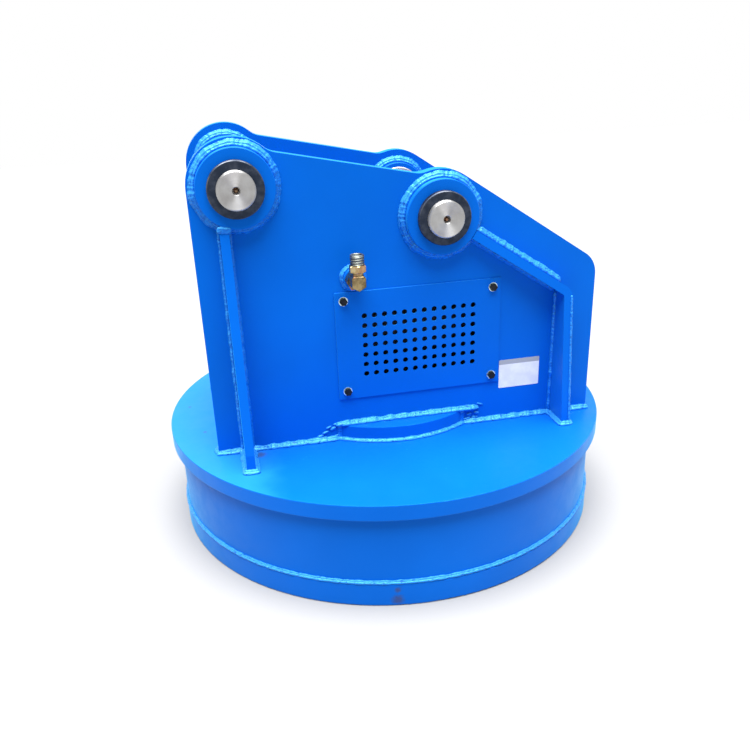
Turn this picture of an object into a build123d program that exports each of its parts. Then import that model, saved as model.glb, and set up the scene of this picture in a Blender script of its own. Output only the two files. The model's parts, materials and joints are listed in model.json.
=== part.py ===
from build123d import *
from math import cos, radians, sin, sqrt
import os

# Lifting electromagnet that an excavator arm carries on two pins. A round magnet pot with
# its coil hangs under two side plates. Between the plates a hydraulic motor drives the
# generator that feeds the coil.
# Millimetres. The origin is the centre of the working face, X runs along the side plates,
# Y from the front plate to the rear plate, and Z is up.

os.makedirs("parts", exist_ok=True)

# Fits
FIT = 0.1  # radial gap of a bonded, screwed or driven round piece in its hole
WELD_ROOT = 1.0  # root gap where a rib end is welded to a round boss

# Magnet pot
TOP_PLATE_R = 450
TOP_PLATE_T = 30
TOP_PLATE_EDGE = 1.5
POT_R = 435
POT_WALL = 35
POT_H = 136.5
OUTER_SHOE_LIP = 4  # outer pole shoe beyond the pot wall
OUTER_SHOE_W = 54
OUTER_SHOE_H = 46
OUTER_SHOE_EDGE = 3
DOUBLER_R = 215
DOUBLER_T = 30
DOUBLER_EDGE = 1.5
CORE_R = 150
INNER_SHOE_R = 170
WEAR_PLATE_RECESS = 8
WEAR_PLATE_T = 20

# Coil
BOBBIN_WALL = 10
COIL_GAP_OUT = 24.8  # potting between the coil and the pot wall
COIL_FLOOR = 22  # potting under the coil
COIL_ROOF = 20.5  # potting above the coil
BOBBIN_FLANGE_T = 6

# Pole shoe screws, M24
SHOE_SCREW_COUNT = 6
SHOE_SCREW_CIRCLE_R = 105
SHOE_SCREW_R = 12
SHOE_SCREW_REACH = 40  # thread in the core
SHOE_HEAD_R = 18
SHOE_HEAD_H = 14
SHOE_HEAD_SINK = 3
SHOE_HEAD_CLEARANCE = 1
SHOE_SOCKET_AF = 19
SHOE_SOCKET_DEPTH = 9

# Side plates
PLATE_Y = 176  # outer faces from the middle
PLATE_T = 24
PLATE_RIGHT_X = 388.3
PIN_LEFT_X = -276
PIN_LEFT_Z = 702.5
PIN_SPACING = 363
PIN_TILT = 11.7  # fall of the pin line from left to right, degrees
LOBE_R = 81
TOP_EDGE_RISE = 65.5  # top edge above the pin line
LOBE_BLEND_R = 40
SLOPE_ANGLE = 33.6  # fall of the right-hand edge, degrees
CORNER_R = 50
DOUBLER_CLEARANCE = 1.5  # root gap of the side plates round the doubler
WINDOW_W = 246
WINDOW_H = 150
WINDOW_R = 12

# Pins, bushes and bosses
PIN_R = 32.5
PIN_END = 43  # pin end beyond the plate face
PIN_CHAMFER = 2
GREASE_WELL_R = 6.5
GREASE_WELL_DEPTH = 13
GREASE_WELL_CHAMFER = 1
GREASE_DRILL_R = 3
GREASE_DRILL_DEPTH = 22
NIPPLE_SHANK_L = 8
NIPPLE_COLLAR_R = 4.5
NIPPLE_COLLAR_H = 4
NIPPLE_TAPER_H = 1
NIPPLE_NECK_R = 2.3
NIPPLE_NECK_H = 1.5
NIPPLE_HEAD_R = 3.2
NIPPLE_HEAD_RISE = 1.5
NIPPLE_TIP_H = 2.5
BUSH_R = 47.5
BUSH_END = 33  # bush face beyond the plate face
BUSH_INSET = 2  # bush end beyond the inner boss
BUSH_CHAMFER = 1.5
OUTER_BOSS_R = 66.5
OUTER_BOSS_H = 22
INNER_BOSS_R = 56.5
INNER_BOSS_H = 20
BOSS_CHAMFER = 1

# Ribs
RIB_T = 16
GUSSET_X = -302
GUSSET_FOOT = 90  # reach of the tapered gusset on the top plate
GUSSET_NOSE = 34
RIB_HEAD = 22  # reach of both ribs at the bosses
BENT_RIB_X = 316
BENT_RIB_FOOT = 62
BENT_RIB_RISE = 2.5  # centre line above the right pin
BENT_RIB_BEND_R = 16

# Vent covers
COVER_X = 38
COVER_Z = 400.5
COVER_W = 317
COVER_H = 209
COVER_T = 3
COVER_R = 2
VENT_PITCH = 19
VENT_COLUMNS = 12
VENT_ROWS = 7
VENT_R = 5.1
COVER_SCREW_INSET = 16

# M8 screws with washers
M8_R = 4
M8_AF = 13
M8_HEAD_H = 5.3
M8_WASHER_R = 8.5
M8_WASHER_T = 1.6
M8_REACH = 20

# Deck and ends between the side plates
DECK_T = 8
DECK_HIGH_Z = 566
DECK_LOW_Z = 522
DECK_STEP_LEFT_X = -30
DECK_STEP_RIGHT_X = 45
DECK_BEND_R = 20
END_T = 15
LEFT_END_X = -345
RIGHT_END_X = 353
HATCH_W = 250
HATCH_H = 250
HATCH_Z = 370
HATCH_R = 15
PANEL_T = 4
PANEL_LAP = 18
PANEL_SCREW_INSET = 9
PANEL_REACH = 10

# Hydraulic ports
PORT_X = -84
PORT_Z = 531
PORT_REACH = 48  # elbow axis beyond the plate face
SOCKET_R = 18
SOCKET_OUT = 12
SOCKET_IN = 12
SOCKET_CHAMFER = 1.5
BORE_R = 8
SWIVEL_AF = 30
SWIVEL_L = 18
ELBOW_AF = 24
ELBOW_BELOW = 14
ELBOW_ABOVE = 13.5
ELBOW_CHAMFER = 2
ELBOW_LEG_R = 10.5
NECK_R = 10.5
NECK_H = 8
ADAPTER_AF = 27
ADAPTER_HEX_H = 13
THREAD_R = 13
THREAD_H = 18
THREAD_CHAMFER = 1.2
CONE_R = 10.5
CONE_ANGLE = 24

# Generator set
BED_L = 380
BED_W = 180
BED_T = 15
BED_R = 10
SHAFT_H = 132
YOKE_R = 112
YOKE_LEFT_X = -60
YOKE_RIGHT_X = 180
YOKE_RIB_COUNT = 20
YOKE_RIB_H = 5
YOKE_RIB_T = 6
FOOT_W = 190
FOOT_T = 30
FOOT_PAD_T = 12
FOOT_INSET = 20
FOOT_ANGLE = 50  # where a foot meets the yoke, from straight down
SHIELD_R = 117
SHIELD_T = 20
SHIELD_EDGE = 8
BELL_L = 95
BELL_FLANGE_R = 100
BELL_FLANGE_T = 12
BELL_NECK_R = 62
BELL_FLARE = 14
MOTOR_L = 120
MOTOR_W = 110
MOTOR_H = 130
MOTOR_R = 16
MOTOR_SEAM = 2  # width and depth of the groove behind the rear cover
MOTOR_COVER_L = 26
MOTOR_PORT_R = 20
MOTOR_PORT_H = 5
MOTOR_PORT_X = -245
PIPE_R = 9
PIPE_BEND_R = 28
PIPE_Y = 98
PIPE_NUT_AF = 30
PIPE_NUT_L = 14

# Control box and coil lead
BOX_L = 86
BOX_W = 220
BOX_H = 200
BOX_WALL = 3
BOX_R = 8
BOX_LID_T = 3
BOX_STAND = 50
BOX_STAND_R = 12
BOX_STAND_INSET = 22
LEAD_X = 278
LEAD_R = 9
LEAD_TAIL = 30  # lead above the floor of the box
GLAND_R = 16
GLAND_HEX_AF = 38
GLAND_HEX_H = 10
GLAND_DOME_R = 15
GLAND_DOME_H = 14
GLAND_DOME_EDGE = 3

# Levels and positions that follow
outer_shoe_r = POT_R + OUTER_SHOE_LIP
outer_shoe_bore_r = outer_shoe_r - OUTER_SHOE_W
pot_z = OUTER_SHOE_H
top_plate_z = pot_z + POT_H
plate_foot_z = top_plate_z + TOP_PLATE_T
doubler_z = plate_foot_z + DOUBLER_T
cavity_z = WEAR_PLATE_RECESS + WEAR_PLATE_T
pot_bore_r = POT_R - POT_WALL
bobbin_r = CORE_R + FIT + BOBBIN_WALL
coil_r = pot_bore_r - COIL_GAP_OUT
coil_z = cavity_z + COIL_FLOOR
coil_top_z = top_plate_z - COIL_ROOF
plate_inner_y = PLATE_Y - PLATE_T
pin_y = PLATE_Y + PIN_END
inner_boss_y = plate_inner_y - INNER_BOSS_H
shaft_z = doubler_z + BED_T + SHAFT_H
box_x = LEAD_X - BOX_L / 2
box_z = plate_foot_z + BOX_STAND

pin_left = Vector(PIN_LEFT_X, PIN_LEFT_Z)
pin_along = Vector(cos(radians(PIN_TILT)), -sin(radians(PIN_TILT)))
pin_up = Vector(sin(radians(PIN_TILT)), cos(radians(PIN_TILT)))
pin_right = pin_left + pin_along * PIN_SPACING
slope_along = Vector(cos(radians(SLOPE_ANGLE)), -sin(radians(SLOPE_ANGLE)))
slope_up = Vector(sin(radians(SLOPE_ANGLE)), cos(radians(SLOPE_ANGLE)))
pins = {"left": pin_left, "right": pin_right}
sides = {"front": -1, "rear": 1}


def upright(y):
    """Sketch plane at a Y, with X to the right and Z up. It extrudes towards -Y."""
    return Plane.XZ.offset(-y)


def slab_plane(near, far):
    """Plane at the larger Y of two, so that an extrusion runs down to the other."""
    return upright(max(near, far))


def turning_plane(x, z):
    """Plane through a pin line, with X the radius and Y along the pin."""
    return Plane((x, 0, z))


# Magnet pot: pole shoes, wall, core and top plate

with BuildPart() as outer_pole_shoe:
    with BuildSketch():
        Circle(outer_shoe_r)
        Circle(outer_shoe_bore_r, mode=Mode.SUBTRACT)
    extrude(amount=OUTER_SHOE_H)
    rim = outer_pole_shoe.edges().filter_by(GeomType.CIRCLE).group_by(SortBy.RADIUS)[-1]
    fillet(rim, OUTER_SHOE_EDGE)
outer_pole_shoe.part.label = "outer_pole_shoe"
export_step(outer_pole_shoe.part, "parts/outer_pole_shoe.step")

with BuildPart() as pot_wall:
    with BuildSketch(Plane.XY.offset(pot_z)):
        Circle(POT_R)
        Circle(pot_bore_r, mode=Mode.SUBTRACT)
    extrude(amount=POT_H)
pot_wall.part.label = "pot_wall"
export_step(pot_wall.part, "parts/pot_wall.step")

with BuildPart() as top_plate:
    with BuildSketch(Plane.XY.offset(top_plate_z)):
        Circle(TOP_PLATE_R)
        with Locations((LEAD_X, 0)):
            Circle(GLAND_R + FIT, mode=Mode.SUBTRACT)
    extrude(amount=TOP_PLATE_T)
    rim = top_plate.edges().filter_by(GeomType.CIRCLE).group_by(SortBy.RADIUS)[-1]
    fillet(rim, TOP_PLATE_EDGE)
top_plate.part.label = "top_plate"
export_step(top_plate.part, "parts/top_plate.step")

with BuildPart() as round_doubler:
    with BuildSketch(Plane.XY.offset(plate_foot_z)):
        Circle(DOUBLER_R)
    extrude(amount=DOUBLER_T)
    fillet(round_doubler.edges().group_by(Axis.Z)[-1], DOUBLER_EDGE)
round_doubler.part.label = "round_doubler"
export_step(round_doubler.part, "parts/round_doubler.step")

with BuildPart() as centre_core:
    with BuildSketch(Plane.XY.offset(cavity_z)):
        Circle(CORE_R)
    extrude(amount=top_plate_z - cavity_z)
    with BuildSketch(Plane.XY.offset(cavity_z)):
        with PolarLocations(SHOE_SCREW_CIRCLE_R, SHOE_SCREW_COUNT):
            Circle(SHOE_SCREW_R + FIT)
    extrude(amount=SHOE_SCREW_REACH, mode=Mode.SUBTRACT)
centre_core.part.label = "centre_core"
export_step(centre_core.part, "parts/centre_core.step")

with BuildPart() as inner_pole_shoe:
    with BuildSketch():
        Circle(INNER_SHOE_R)
    extrude(amount=cavity_z)
    fillet(inner_pole_shoe.edges().group_by(Axis.Z)[0], OUTER_SHOE_EDGE)
    with Locations(Plane((0, 0, 0), z_dir=(0, 0, -1))):
        with PolarLocations(SHOE_SCREW_CIRCLE_R, SHOE_SCREW_COUNT):
            CounterBoreHole(
                radius=SHOE_SCREW_R + FIT,
                counter_bore_radius=SHOE_HEAD_R + SHOE_HEAD_CLEARANCE,
                counter_bore_depth=SHOE_HEAD_SINK + SHOE_HEAD_H,
            )
inner_pole_shoe.part.label = "inner_pole_shoe"
export_step(inner_pole_shoe.part, "parts/inner_pole_shoe.step")

with BuildPart() as pole_shoe_screws:
    with BuildSketch(Plane.XY.offset(SHOE_HEAD_SINK)):
        with PolarLocations(SHOE_SCREW_CIRCLE_R, SHOE_SCREW_COUNT):
            Circle(SHOE_HEAD_R)
    extrude(amount=SHOE_HEAD_H)
    with BuildSketch(Plane.XY.offset(SHOE_HEAD_SINK + SHOE_HEAD_H)):
        with PolarLocations(SHOE_SCREW_CIRCLE_R, SHOE_SCREW_COUNT):
            Circle(SHOE_SCREW_R)
    extrude(amount=cavity_z + SHOE_SCREW_REACH - SHOE_HEAD_SINK - SHOE_HEAD_H)
    with BuildSketch(Plane.XY.offset(SHOE_HEAD_SINK)):
        with PolarLocations(SHOE_SCREW_CIRCLE_R, SHOE_SCREW_COUNT):
            RegularPolygon(SHOE_SOCKET_AF / 2, 6, major_radius=False)
    extrude(amount=SHOE_SOCKET_DEPTH, mode=Mode.SUBTRACT)
pole_shoe_screws.part.label = "pole_shoe_screws"
export_step(pole_shoe_screws.part, "parts/pole_shoe_screws.step")

with BuildPart() as wear_plate:
    with BuildSketch(Plane.XY.offset(WEAR_PLATE_RECESS)):
        Circle(outer_shoe_bore_r - FIT)
        Circle(INNER_SHOE_R + FIT, mode=Mode.SUBTRACT)
    extrude(amount=WEAR_PLATE_T)
wear_plate.part.label = "wear_plate"
export_step(wear_plate.part, "parts/wear_plate.step")

# Coil, its bobbin and the potting that fills the pot

winding_h = (coil_top_z - coil_z - BOBBIN_FLANGE_T) / 2
flange_z = coil_z + winding_h
with BuildPart() as coil_bobbin:
    with BuildSketch(Plane.XY.offset(cavity_z)):
        Circle(bobbin_r)
    extrude(amount=top_plate_z - cavity_z)
    with BuildSketch(Plane.XY.offset(flange_z)):
        Circle(coil_r - FIT)
    extrude(amount=BOBBIN_FLANGE_T)
    with BuildSketch(Plane.XY.offset(cavity_z)):
        Circle(CORE_R + FIT)
    extrude(amount=top_plate_z - cavity_z, mode=Mode.SUBTRACT)
coil_bobbin.part.label = "coil_bobbin"
export_step(coil_bobbin.part, "parts/coil_bobbin.step")

for layer, layer_z in {"lower": coil_z, "upper": flange_z + BOBBIN_FLANGE_T}.items():
    with BuildPart() as winding:
        with BuildSketch(Plane.XY.offset(layer_z)):
            Circle(coil_r - FIT)
            Circle(bobbin_r + FIT, mode=Mode.SUBTRACT)
        extrude(amount=winding_h)
    winding.part.label = f"{layer}_winding"
    export_step(winding.part, f"parts/{layer}_winding.step")

with BuildPart() as coil_potting:
    with BuildSketch(Plane.XZ):
        with BuildLine():
            Polyline(
                (bobbin_r + FIT, cavity_z),
                (outer_shoe_bore_r - FIT, cavity_z),
                (outer_shoe_bore_r - FIT, pot_z),
                (pot_bore_r - FIT, pot_z),
                (pot_bore_r - FIT, top_plate_z),
                (bobbin_r + FIT, top_plate_z),
                (bobbin_r + FIT, coil_top_z),
                (coil_r, coil_top_z),
                (coil_r, coil_z),
                (bobbin_r + FIT, coil_z),
                close=True,
            )
        make_face()
    revolve(axis=Axis.Z)
    with BuildSketch(Plane.XY.offset(coil_top_z)):
        with Locations((LEAD_X, 0)):
            Circle(LEAD_R + FIT)
    extrude(amount=COIL_ROOF, mode=Mode.SUBTRACT)
coil_potting.part.label = "coil_potting"
export_step(coil_potting.part, "parts/coil_potting.step")

# Side plates: one outline, cut for bushes, ports, windows and cover screws

top_left = pin_left + pin_up * TOP_EDGE_RISE
top_right = pin_right + pin_up * TOP_EDGE_RISE
lobe_reach = sqrt(LOBE_R**2 - TOP_EDGE_RISE**2)
blend_left = top_left + pin_along * lobe_reach
blend_right = top_right - pin_along * lobe_reach
slope_start = pin_right + slope_up * LOBE_R
slope_run = (PLATE_RIGHT_X - slope_start.X) / slope_along.X
slope_end = slope_start + slope_along * slope_run
plate_left_x = PIN_LEFT_X - LOBE_R
cover_screw_pitch_x = COVER_W - 2 * COVER_SCREW_INSET
cover_screw_pitch_z = COVER_H - 2 * COVER_SCREW_INSET

for side, sign in sides.items():
    with BuildPart() as side_plate:
        with BuildSketch(slab_plane(sign * PLATE_Y, sign * plate_inner_y)) as outline:
            with BuildLine():
                Polyline(
                    (plate_left_x, plate_foot_z),
                    (plate_left_x, PIN_LEFT_Z),
                    (top_left.X, top_left.Y),
                    (top_right.X, top_right.Y),
                    (slope_start.X, slope_start.Y),
                    (slope_end.X, slope_end.Y),
                    (PLATE_RIGHT_X, plate_foot_z),
                    close=True,
                )
            make_face()
            with Locations(pin_left, pin_right):
                Circle(LOBE_R)
            for corner in (blend_left, blend_right):
                fillet(outline.vertices().sort_by_distance(corner)[0], LOBE_BLEND_R)
            fillet(outline.vertices().sort_by_distance(slope_end)[0], CORNER_R)
            with Locations(pin_left, pin_right):
                Circle(BUSH_R + FIT, mode=Mode.SUBTRACT)
            with Locations((PORT_X, PORT_Z)):
                Circle(SOCKET_R + FIT, mode=Mode.SUBTRACT)
            with Locations((COVER_X, COVER_Z)):
                RectangleRounded(WINDOW_W, WINDOW_H, WINDOW_R, mode=Mode.SUBTRACT)
                with GridLocations(cover_screw_pitch_x, cover_screw_pitch_z, 2, 2):
                    Circle(M8_R + FIT, mode=Mode.SUBTRACT)
        extrude(amount=PLATE_T)
        with BuildSketch(Plane.XY.offset(plate_foot_z)):
            Circle(DOUBLER_R + DOUBLER_CLEARANCE)
        extrude(amount=DOUBLER_T, mode=Mode.SUBTRACT)
    side_plate.part.label = f"{side}_side_plate"
    export_step(side_plate.part, f"parts/{side}_side_plate.step")

# Bosses and bushes at the four pin holes

for side, sign in sides.items():
    for pin_name, pin in pins.items():
        outer_y = sign * (PLATE_Y + OUTER_BOSS_H)
        with BuildPart() as outer_boss:
            with BuildSketch(slab_plane(sign * PLATE_Y, outer_y)):
                with Locations(pin):
                    Circle(OUTER_BOSS_R)
                    Circle(BUSH_R + FIT, mode=Mode.SUBTRACT)
            extrude(amount=OUTER_BOSS_H)
            free_face = outer_boss.faces().sort_by(Axis.Y)[0 if sign < 0 else -1]
            chamfer(free_face.edges().sort_by(SortBy.RADIUS)[-1], BOSS_CHAMFER)
        outer_boss.part.label = f"{side}_{pin_name}_outer_boss"
        export_step(outer_boss.part, f"parts/{side}_{pin_name}_outer_boss.step")

        bush_in_y = sign * (inner_boss_y - BUSH_INSET)
        bush_out_y = sign * (PLATE_Y + BUSH_END)
        with BuildPart() as pin_bush:
            with BuildSketch(slab_plane(bush_in_y, bush_out_y)):
                with Locations(pin):
                    Circle(BUSH_R)
                    Circle(PIN_R + FIT, mode=Mode.SUBTRACT)
            extrude(amount=abs(bush_out_y - bush_in_y))
            rims = pin_bush.edges().filter_by(GeomType.CIRCLE).group_by(SortBy.RADIUS)[-1]
            chamfer(rims, BUSH_CHAMFER)
        pin_bush.part.label = f"{side}_{pin_name}_bush"
        export_step(pin_bush.part, f"parts/{side}_{pin_name}_bush.step")

for pin_name, pin in pins.items():
    with BuildPart() as inner_bosses:
        with BuildSketch(upright(-inner_boss_y), upright(plate_inner_y)):
            with Locations(pin):
                Circle(INNER_BOSS_R)
                Circle(BUSH_R + FIT, mode=Mode.SUBTRACT)
        extrude(amount=INNER_BOSS_H)
        rims = inner_bosses.edges().filter_by(GeomType.CIRCLE).group_by(SortBy.RADIUS)[-1]
        chamfer(rims.sort_by(Axis.Y)[1:3], BOSS_CHAMFER)
    inner_bosses.part.label = f"{pin_name}_inner_bosses"
    export_step(inner_bosses.part, f"parts/{pin_name}_inner_bosses.step")

# Pins, with a grease nipple sunk in the front end

nipple_y = GREASE_WELL_DEPTH - pin_y
nipple_collar_y = nipple_y - NIPPLE_COLLAR_H
nipple_neck_y = nipple_collar_y - NIPPLE_TAPER_H
nipple_head_y = nipple_neck_y - NIPPLE_NECK_H - NIPPLE_HEAD_RISE
for pin_name, pin in pins.items():
    with BuildPart() as hinge_pin:
        with BuildSketch(turning_plane(pin.X, pin.Y)):
            with BuildLine():
                Polyline(
                    (0, GREASE_WELL_DEPTH + GREASE_DRILL_DEPTH - pin_y),
                    (GREASE_DRILL_R, GREASE_WELL_DEPTH + GREASE_DRILL_DEPTH - pin_y),
                    (GREASE_DRILL_R, GREASE_WELL_DEPTH - pin_y),
                    (GREASE_WELL_R, GREASE_WELL_DEPTH - pin_y),
                    (GREASE_WELL_R, GREASE_WELL_CHAMFER - pin_y),
                    (GREASE_WELL_R + GREASE_WELL_CHAMFER, -pin_y),
                    (PIN_R - PIN_CHAMFER, -pin_y),
                    (PIN_R, PIN_CHAMFER - pin_y),
                    (PIN_R, pin_y - PIN_CHAMFER),
                    (PIN_R - PIN_CHAMFER, pin_y),
                    (0, pin_y),
                    close=True,
                )
            make_face()
        revolve(axis=Axis((pin.X, 0, pin.Y), (0, 1, 0)))
    hinge_pin.part.label = f"{pin_name}_pin"
    export_step(hinge_pin.part, f"parts/{pin_name}_pin.step")

with BuildPart() as grease_nipples:
    for pin in pins.values():
        with BuildSketch(turning_plane(pin.X, pin.Y)):
            with BuildLine():
                Polyline(
                    (0, nipple_y + NIPPLE_SHANK_L),
                    (GREASE_DRILL_R - FIT, nipple_y + NIPPLE_SHANK_L),
                    (GREASE_DRILL_R - FIT, nipple_y),
                    (NIPPLE_COLLAR_R, nipple_y),
                    (NIPPLE_COLLAR_R, nipple_collar_y),
                    (NIPPLE_NECK_R, nipple_neck_y),
                    (NIPPLE_NECK_R, nipple_neck_y - NIPPLE_NECK_H),
                    (NIPPLE_HEAD_R, nipple_head_y),
                    (NIPPLE_NECK_R, nipple_head_y - NIPPLE_TIP_H),
                    (0, nipple_head_y - NIPPLE_TIP_H),
                    close=True,
                )
            make_face()
        revolve(axis=Axis((pin.X, 0, pin.Y), (0, 1, 0)))
grease_nipples.part.label = "grease_nipples"
export_step(grease_nipples.part, "parts/grease_nipples.step")

# Ribs: a tapered gusset under the left boss and a bent bar from the right boss

gusset_side = abs(GUSSET_X - PIN_LEFT_X) - RIB_T / 2
gusset_top_z = PIN_LEFT_Z - sqrt(OUTER_BOSS_R**2 - gusset_side**2) - WELD_ROOT
rib_line = pin_right + slope_up * BENT_RIB_RISE
rib_start = rib_line + slope_along * (OUTER_BOSS_R + WELD_ROOT)
rib_run = (BENT_RIB_X - rib_line.X) / slope_along.X
rib_bend = rib_line + slope_along * rib_run
sloped_l = (rib_bend - rib_start).length
upright_l = rib_bend.Y - plate_foot_z
rib_taper = (BENT_RIB_FOOT - RIB_HEAD) / (sloped_l + upright_l)
rib_bend_reach = RIB_HEAD + rib_taper * sloped_l

for side, sign in sides.items():
    with BuildPart() as tapered_gusset:
        with BuildSketch(Plane.YZ.offset(GUSSET_X - RIB_T / 2)):
            with BuildLine():
                Polyline(
                    (sign * PLATE_Y, plate_foot_z),
                    (sign * (PLATE_Y + GUSSET_FOOT), plate_foot_z),
                    (sign * (PLATE_Y + GUSSET_FOOT), plate_foot_z + GUSSET_NOSE),
                    (sign * (PLATE_Y + RIB_HEAD), gusset_top_z),
                    (sign * PLATE_Y, gusset_top_z),
                    close=True,
                )
            make_face()
        extrude(amount=RIB_T)
    tapered_gusset.part.label = f"{side}_tapered_gusset"
    export_step(tapered_gusset.part, f"parts/{side}_tapered_gusset.step")

    rib_plane = slab_plane(sign * PLATE_Y, sign * (PLATE_Y + BENT_RIB_FOOT))
    with BuildPart() as bent_rib:
        with BuildSketch(rib_plane):
            with BuildLine() as centre_line:
                FilletPolyline(
                    (rib_start.X, rib_start.Y),
                    (rib_bend.X, rib_bend.Y),
                    (BENT_RIB_X, plate_foot_z),
                    radius=BENT_RIB_BEND_R,
                )
            trace(line_width=RIB_T)
        extrude(amount=BENT_RIB_FOOT)
        rise_z = -rib_taper
        rise_x = (rib_bend_reach - RIB_HEAD + rise_z * (rib_start.Y - rib_bend.Y)) / (
            rib_bend.X - rib_start.X
        )
        free_edge = Plane(
            origin=(rib_bend.X, sign * (PLATE_Y + rib_bend_reach), rib_bend.Y),
            x_dir=(1, sign * rise_x, 0),
            z_dir=(-sign * rise_x, 1, -sign * rise_z),
        )
        split(bisect_by=free_edge, keep=Keep.TOP if sign < 0 else Keep.BOTTOM)
    bent_rib.part.label = f"{side}_bent_rib"
    export_step(bent_rib.part, f"parts/{side}_bent_rib.step")

# Perforated vent covers with their screws and washers

for side, sign in sides.items():
    with BuildPart() as vent_cover:
        with BuildSketch(slab_plane(sign * PLATE_Y, sign * (PLATE_Y + COVER_T))):
            with Locations((COVER_X, COVER_Z)):
                RectangleRounded(COVER_W, COVER_H, COVER_R)
                with GridLocations(VENT_PITCH, VENT_PITCH, VENT_COLUMNS, VENT_ROWS):
                    Circle(VENT_R, mode=Mode.SUBTRACT)
                with GridLocations(cover_screw_pitch_x, cover_screw_pitch_z, 2, 2):
                    Circle(M8_R + FIT, mode=Mode.SUBTRACT)
        extrude(amount=COVER_T)
    vent_cover.part.label = f"{side}_vent_cover"
    export_step(vent_cover.part, f"parts/{side}_vent_cover.step")

cover_out_y = PLATE_Y + COVER_T
washer_out_y = cover_out_y + M8_WASHER_T
head_out_y = washer_out_y + M8_HEAD_H
shank_in_y = PLATE_Y - M8_REACH

with BuildPart() as cover_washers:
    with BuildSketch(upright(-cover_out_y), upright(washer_out_y)):
        with Locations((COVER_X, COVER_Z)):
            with GridLocations(cover_screw_pitch_x, cover_screw_pitch_z, 2, 2):
                Circle(M8_WASHER_R)
                Circle(M8_R + FIT, mode=Mode.SUBTRACT)
    extrude(amount=M8_WASHER_T)
cover_washers.part.label = "cover_washers"
export_step(cover_washers.part, "parts/cover_washers.step")

with BuildPart() as cover_screws:
    with BuildSketch(upright(-washer_out_y), upright(head_out_y)):
        with Locations((COVER_X, COVER_Z)):
            with GridLocations(cover_screw_pitch_x, cover_screw_pitch_z, 2, 2):
                RegularPolygon(M8_AF / 2, 6, major_radius=False)
    extrude(amount=M8_HEAD_H)
    with BuildSketch(upright(-shank_in_y), upright(washer_out_y)):
        with Locations((COVER_X, COVER_Z)):
            with GridLocations(cover_screw_pitch_x, cover_screw_pitch_z, 2, 2):
                Circle(M8_R)
    extrude(amount=washer_out_y - shank_in_y)
cover_screws.part.label = "cover_screws"
export_step(cover_screws.part, "parts/cover_screws.step")

# Deck over the generator set, left end plate, right end frame and its panel

with BuildPart() as folded_deck:
    with BuildSketch(upright(plate_inner_y)):
        with BuildLine():
            FilletPolyline(
                (LEFT_END_X, DECK_HIGH_Z),
                (DECK_STEP_LEFT_X, DECK_HIGH_Z),
                (DECK_STEP_RIGHT_X, DECK_LOW_Z),
                (RIGHT_END_X, DECK_LOW_Z),
                radius=DECK_BEND_R,
            )
        trace(line_width=DECK_T)
    extrude(amount=2 * plate_inner_y)
folded_deck.part.label = "folded_deck"
export_step(folded_deck.part, "parts/folded_deck.step")

left_end_h = DECK_HIGH_Z - DECK_T / 2 - plate_foot_z
with BuildPart() as left_end_plate:
    with BuildSketch(Plane.YZ.offset(LEFT_END_X)):
        with Locations((0, plate_foot_z + left_end_h / 2)):
            Rectangle(2 * plate_inner_y, left_end_h)
    extrude(amount=END_T)
left_end_plate.part.label = "left_end_plate"
export_step(left_end_plate.part, "parts/left_end_plate.step")

right_end_h = DECK_LOW_Z - DECK_T / 2 - plate_foot_z
panel_w = HATCH_W + 2 * PANEL_LAP
panel_h = HATCH_H + 2 * PANEL_LAP
panel_screw_pitch_y = panel_w - 2 * PANEL_SCREW_INSET
panel_screw_pitch_z = (panel_h - 2 * PANEL_SCREW_INSET) / 2
with BuildPart() as right_end_frame:
    with BuildSketch(Plane.YZ.offset(RIGHT_END_X - END_T)):
        with Locations((0, plate_foot_z + right_end_h / 2)):
            Rectangle(2 * plate_inner_y, right_end_h)
        with Locations((0, HATCH_Z)):
            RectangleRounded(HATCH_W, HATCH_H, HATCH_R, mode=Mode.SUBTRACT)
            with GridLocations(panel_screw_pitch_y, panel_screw_pitch_z, 2, 3):
                Circle(M8_R + FIT, mode=Mode.SUBTRACT)
    extrude(amount=END_T)
right_end_frame.part.label = "right_end_frame"
export_step(right_end_frame.part, "parts/right_end_frame.step")

with BuildPart() as hatch_panel:
    with BuildSketch(Plane.YZ.offset(RIGHT_END_X)):
        with Locations((0, HATCH_Z)):
            RectangleRounded(panel_w, panel_h, HATCH_R)
            with GridLocations(panel_screw_pitch_y, panel_screw_pitch_z, 2, 3):
                Circle(M8_R + FIT, mode=Mode.SUBTRACT)
    extrude(amount=PANEL_T)
hatch_panel.part.label = "hatch_panel"
export_step(hatch_panel.part, "parts/hatch_panel.step")

with BuildPart() as hatch_screws:
    with BuildSketch(Plane.YZ.offset(RIGHT_END_X + PANEL_T)):
        with Locations((0, HATCH_Z)):
            with GridLocations(panel_screw_pitch_y, panel_screw_pitch_z, 2, 3):
                RegularPolygon(M8_AF / 2, 6, major_radius=False)
    extrude(amount=M8_HEAD_H)
    with BuildSketch(Plane.YZ.offset(RIGHT_END_X - PANEL_REACH)):
        with Locations((0, HATCH_Z)):
            with GridLocations(panel_screw_pitch_y, panel_screw_pitch_z, 2, 3):
                Circle(M8_R)
    extrude(amount=PANEL_REACH + PANEL_T)
hatch_screws.part.label = "hatch_screws"
export_step(hatch_screws.part, "parts/hatch_screws.step")

# Hydraulic ports: weld-in socket, swivel nut, elbow and screwed adapter on each side

elbow_y = PLATE_Y + PORT_REACH
socket_out_y = PLATE_Y + SOCKET_OUT
socket_in_y = plate_inner_y - SOCKET_IN
swivel_out_y = socket_out_y + SWIVEL_L
elbow_top_z = PORT_Z + ELBOW_ABOVE
adapter_z = elbow_top_z + NECK_H
thread_z = adapter_z + ADAPTER_HEX_H

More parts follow.
